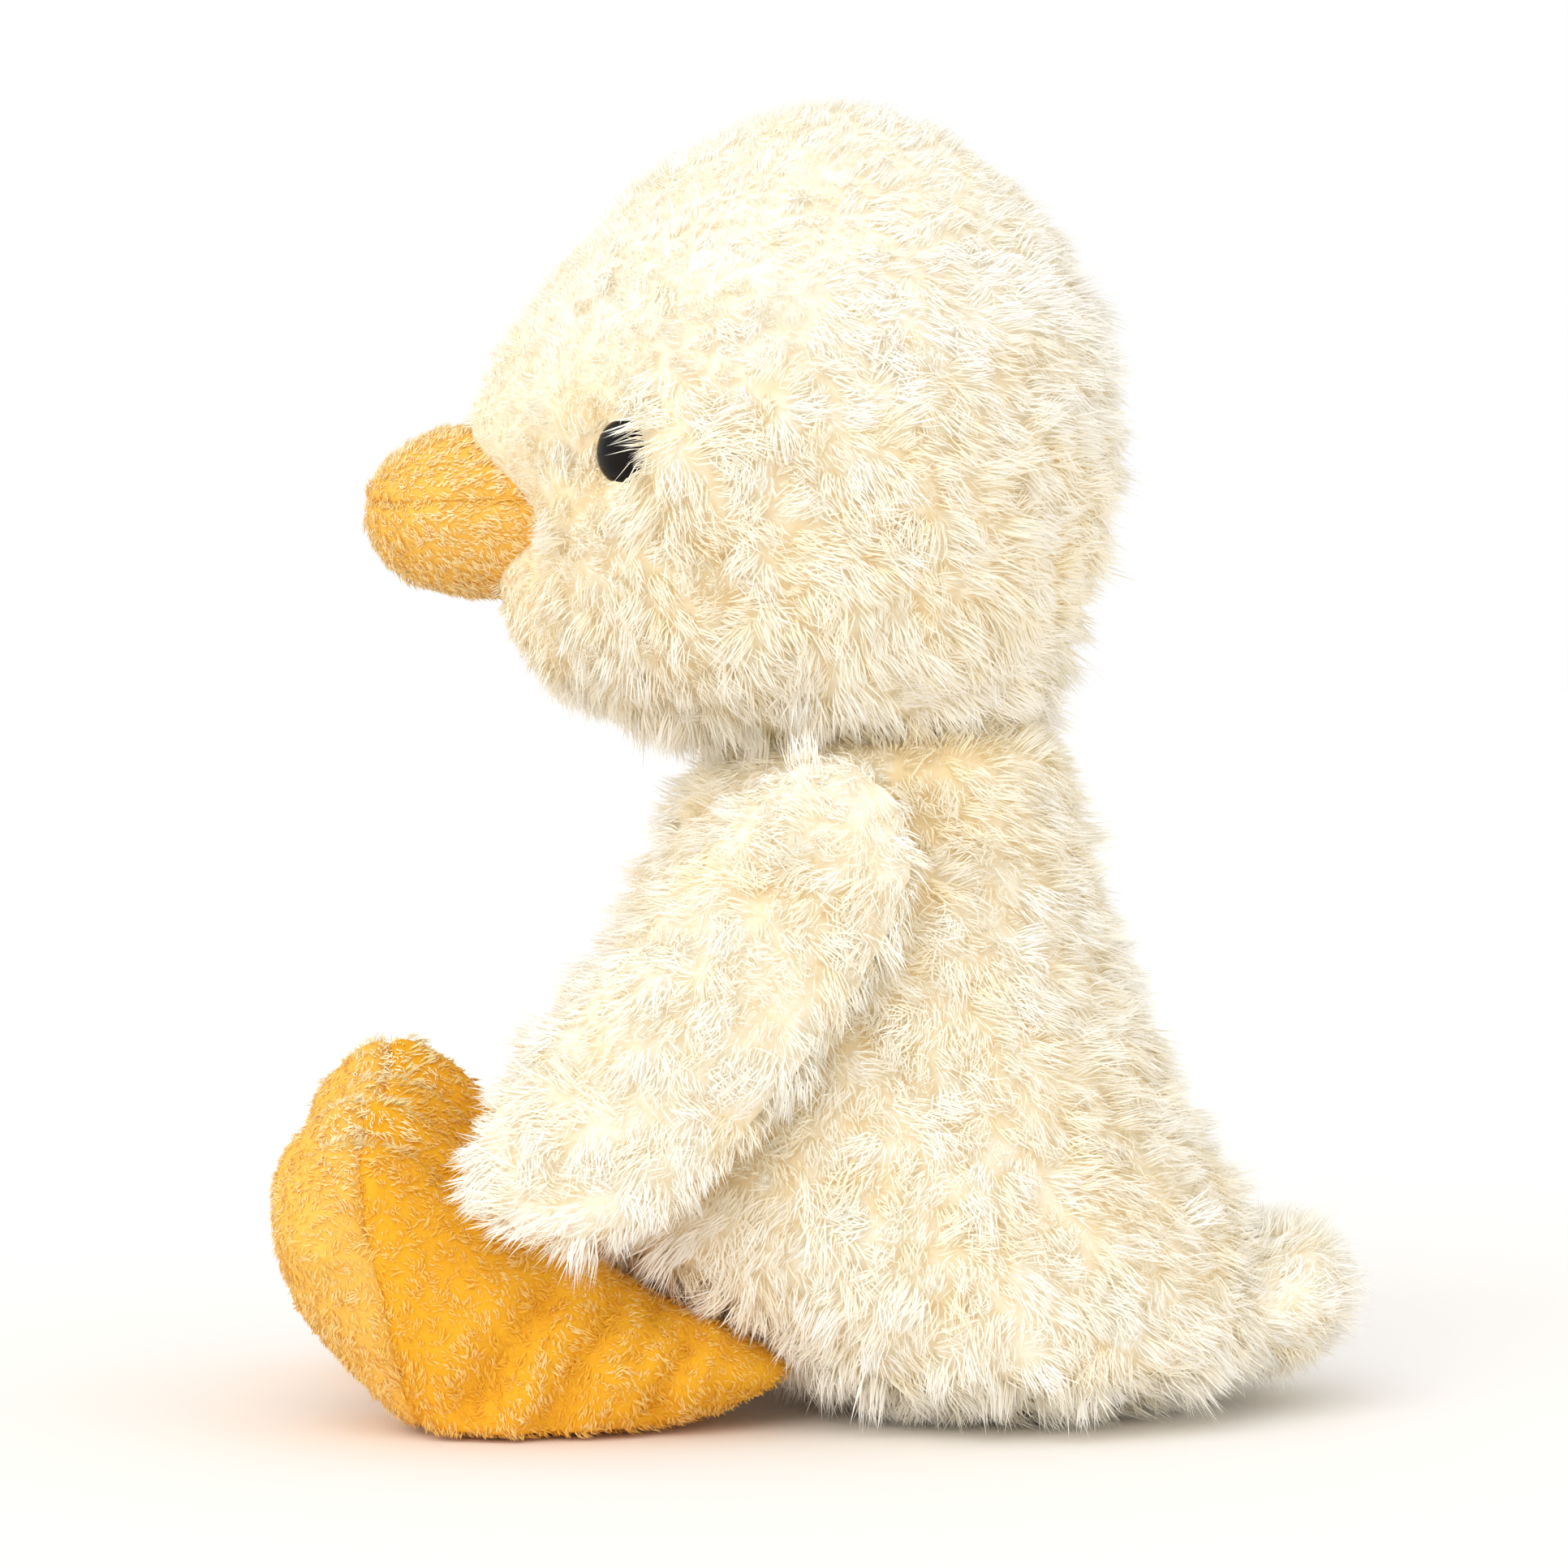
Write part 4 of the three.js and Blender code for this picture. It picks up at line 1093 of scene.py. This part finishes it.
# Where fur ends: round the beak and the eye, inside the head, further in at the nape, which a
# nod lays open, and where the legs are sewn on
furEdges = {"beakPlace": (0, -60, 137.3), "beakStretch": (1, 0.3, 1.15), "beakSize": 15.5, "eyeSize": 5.4,
            "insideHead": 4.5, "nape": 12, "insideNape": 13, "insideFoot": 1.5, "tailBegin": 45}


def onHead(points):
    s = furEdges
    offBeak = distanceTo(points, s["beakPlace"], s["beakStretch"]) > s["beakSize"]
    return offBeak & (eyeDistance(points) > s["eyeSize"])


def onBody(points):
    s = furEdges
    nape = points[:, 1] > s["nape"] * mm
    hidden = insideForm(headForm, points, s["insideHead"]) & ~nape
    hidden |= insideForm(headForm, points, s["insideNape"]) | insideForm(footForm, points, s["insideFoot"])
    return ~hidden


def onTail(points):
    return points[:, 1] > furEdges["tailBegin"] * mm


growFur("headFur", headBase, "head", furLook, furSettings,
        headComb, headTint, headLength, onHead)
growFur("bodyFur", bodyBase, "body", furLook, {**furSettings, "seed": 2},
        bodyComb, bodyTint, bodyLength, onBody)
growFur("tailFur", tailBase, "body", furLook, {**furSettings, "seed": 3, "length": 4.8},
        combed(0, 1.0, -0.15), evenly(0.8), keep=onTail)
for index, side in enumerate(sides):
    growFur(f"wingFur_{side}", wingBases[side], f"wing_{side}", furLook,
            {**furSettings, "seed": 4 + index, "lean": 0.9, "mound": 0.9}, combed(0, -0.62, -0.75), wingTint)

napSettings = {
    **furSettings, "seed": 11, "tuftSpacing": 1.4, "mound": 0.0, "perSquare": 2.8, "length": 1.25,
    "lean": 1.1, "leanVaries": 0.12, "swirl": 1.6, "swirlSize": 6, "tuftTurn": 0.7,
    "strandTurn": 0.4, "strandVaries": 0.2, "clump": 0.35, "wispShare": 0, "width": 0.29,
    "patches": 0.16, "patchSize": 5, "tintVaries": 0.03, "strandTint": 0.055, "tuftRound": 0.2,
    "softShade": 0.7,
}
beakNapSettings = {**napSettings, "perSquare": 4.4, "length": 1.4, "width": 0.28, "tuftTurn": 0.35,
                   "swirl": 0.7}
# Nap is painted darker in folds, along the seams and in the grooves between toes, as painted shade, with
# painted light on the ridges beside folds; a painted sheen makes it paler on the toes' rim, where it is also
# longer, and it is paler towards the top
footTints = {
    "plain": 0.2, "high": 0.12, "highLevels": (30, 46), "fold": 0.22, "swell": 0.08,
    "seam": 0.5, "seamWidth": 0.8, "seamLevels": (36, 44), "web": 0.4, "webWidth": 1.6, "webLevels": (28, 40),
    "rim": 0.7, "rimDepths": (-4.2, -1.6), "rimGain": 0.7,
}
# Beak: painted light makes the upper half paler, painted shade darkens the seam's groove
beakTints = {"plain": 0.5, "above": 0.16, "aboveDepths": (-6, 6), "seam": 0.6, "seamWidth": 0.7}


# 1 along the tops of the toes, 0 elsewhere
def toeRim(points, side):
    s = footSettings
    x, _, z = points.T / mm
    toes = (np.abs(x) - s["centre"]) / s["toeSpacing"]
    top = s["height"] + s["lift"][side] - s["toeGroove"] * (1 - np.abs(np.cos(np.pi * toes)))
    top -= s["outerDrop"] * toes ** 2
    return smooth(z - top, *footTints["rimDepths"])


def footLength(points, side):
    return 1 + footTints["rimGain"] * toeRim(points, side)


def footTint(points, side):
    s, tints = footSettings, footTints
    x, y, z = points.T / mm
    tint = tints["plain"] + tints["high"] * smooth(z, *tints["highLevels"])
    for ends, width, deep in s["folds"]:
        away = np.array([lineDistance(*pair, ends) for pair in zip(y, z)])
        # Painted shade in each fold, painted light on the ridge beside it
        tint -= tints["fold"] * deep * bells(away / width)
        tint += tints["swell"] * deep * bells((away - s["swellAway"] * width) / width)
    # Painted shade along the seam's groove
    fromSeam = (y - seamLine(z)) / tints["seamWidth"]
    tint -= tints["seam"] * bells(fromSeam) * (1 - smooth(z, *tints["seamLevels"]))
    # Painted shade in the grooves between the toes
    toes = (np.abs(x) - s["centre"]) / s["toeSpacing"]
    web = bells((np.abs(toes) - 0.5) * s["toeSpacing"] / tints["webWidth"])
    # A painted sheen makes the nap paler along the toes' tops
    return tint - tints["web"] * web * smooth(z, *tints["webLevels"]) + tints["rim"] * toeRim(points, side)


def beakTint(points):
    s = beakTints
    fromSeam = points[:, 2] / mm - beakSettings["seamLevel"]
    # Paler above the seam as painted light; painted shade in the seam's groove
    return (s["plain"] + s["above"] * smooth(fromSeam, *s["aboveDepths"])
            - s["seam"] * bells(fromSeam / s["seamWidth"]))


def behindSeam(points):
    return points[:, 1] / mm > seamLine(points[:, 2] / mm)


def aboveSeam(points):
    return points[:, 2] / mm > beakSettings["seamLevel"]


for name, seed, keep in (("beakNapUpper", 21, aboveSeam), ("beakNapLower", 22, lambda p: ~aboveSeam(p))):
    growFur(name, beakGround, "head", soleLook, {**beakNapSettings, "seed": seed},
            combed(0, 1.0, -0.1), beakTint, keep=keep)
for index, side in enumerate(sides):
    for name, slotName, look, seed, keep in (("soleNap", "sole_nap", soleLook, 31, lambda p: ~behindSeam(p)),
                                             ("footNap", "foot_nap", napLook, 41, behindSeam)):
        growFur(f"{name}_{side}", footGrounds[side], f"leg_{side}", look,
                {**napSettings, "seed": seed + index}, combed(0, 0.5, -0.8),
                lambda p: footTint(p, side), lambda p: footLength(p, side), keep)
print("fur grown")

# Stage, light and camera
stageSettings = {
    "floorSize": 6000, "floor": (0.92, 0.895, 0.87), "world": 0.93, "bounces": 8,
    "lens": 127, "pitch": 2.0, "distance": 0.85, "aside": -0.0077, "height": 0.095,
}
# Each lamp: where it stands, its energy and its width in degrees
lamps = {
    "keyLamp": ((0.75, -0.35, 0.75), 0.82, 50), "lowLamp": ((0.85, -0.5, 0.08), 0.78, 60),
    "rearLamp": ((0.7, 0.75, 0.1), 0.35, 60), "glintLamp": ((0.4, -0.88, 0.3), 0.12, 9),
}
floorShape = bmesh.new()
bmesh.ops.create_grid(floorShape, x_segments=2, y_segments=2, size=stageSettings["floorSize"])
floor = addObject("floor", meshOf("floor", floorShape))
floorLook, tree, shader = newMaterial("paleFloor", 0.9)
feed(tree, shader, {"Base Color": stageSettings["floor"]})
floor.data.materials.append(floorLook)

# What the camera, glosses and glass see of the world is white; its light is a little weaker
world = bpy.data.worlds.new("studio")
scene = bpy.context.scene
scene.world = world
world.use_nodes = True
tree = world.node_tree
path = addNode(tree, "LightPath")
seen = path.outputs["Is Camera Ray"]
for ray in ("Is Glossy Ray", "Is Transmission Ray"):
    seen = addNode(tree, "Math", {0: seen, 1: path.outputs[ray]}, operation="MAXIMUM").outputs["Value"]
strength = addNode(tree, "MapRange", {"Value": seen, "To Min": stageSettings["world"], "To Max": 1.0})
feed(tree, tree.nodes["Background"], {"Color": (1, 1, 1), "Strength": strength.outputs["Result"]})

for name, (place, energy, width) in lamps.items():
    lamp = bpy.data.lights.new(name, "SUN")
    lamp.energy = energy
    lamp.angle = math.radians(width)
    holder = addObject(name, lamp)
    holder.location = place
    holder.rotation_euler = (-Vector(place)).to_track_quat("-Z", "Y").to_euler()

view = bpy.data.cameras.new("camera")
view.sensor_width = 36
view.lens = stageSettings["lens"]
view.clip_start = 0.01
camera = addObject("camera", view)
pitch = math.radians(stageSettings["pitch"])
away, height = stageSettings["distance"], stageSettings["height"]
camera.location = (away * math.cos(pitch), stageSettings["aside"], height + away * math.sin(pitch))
camera.rotation_euler = (math.pi / 2 - pitch, 0, math.pi / 2)
scene.camera = camera
scene.view_settings.view_transform = "Standard"
scene.cycles.diffuse_bounces = stageSettings["bounces"]
print("stage set")
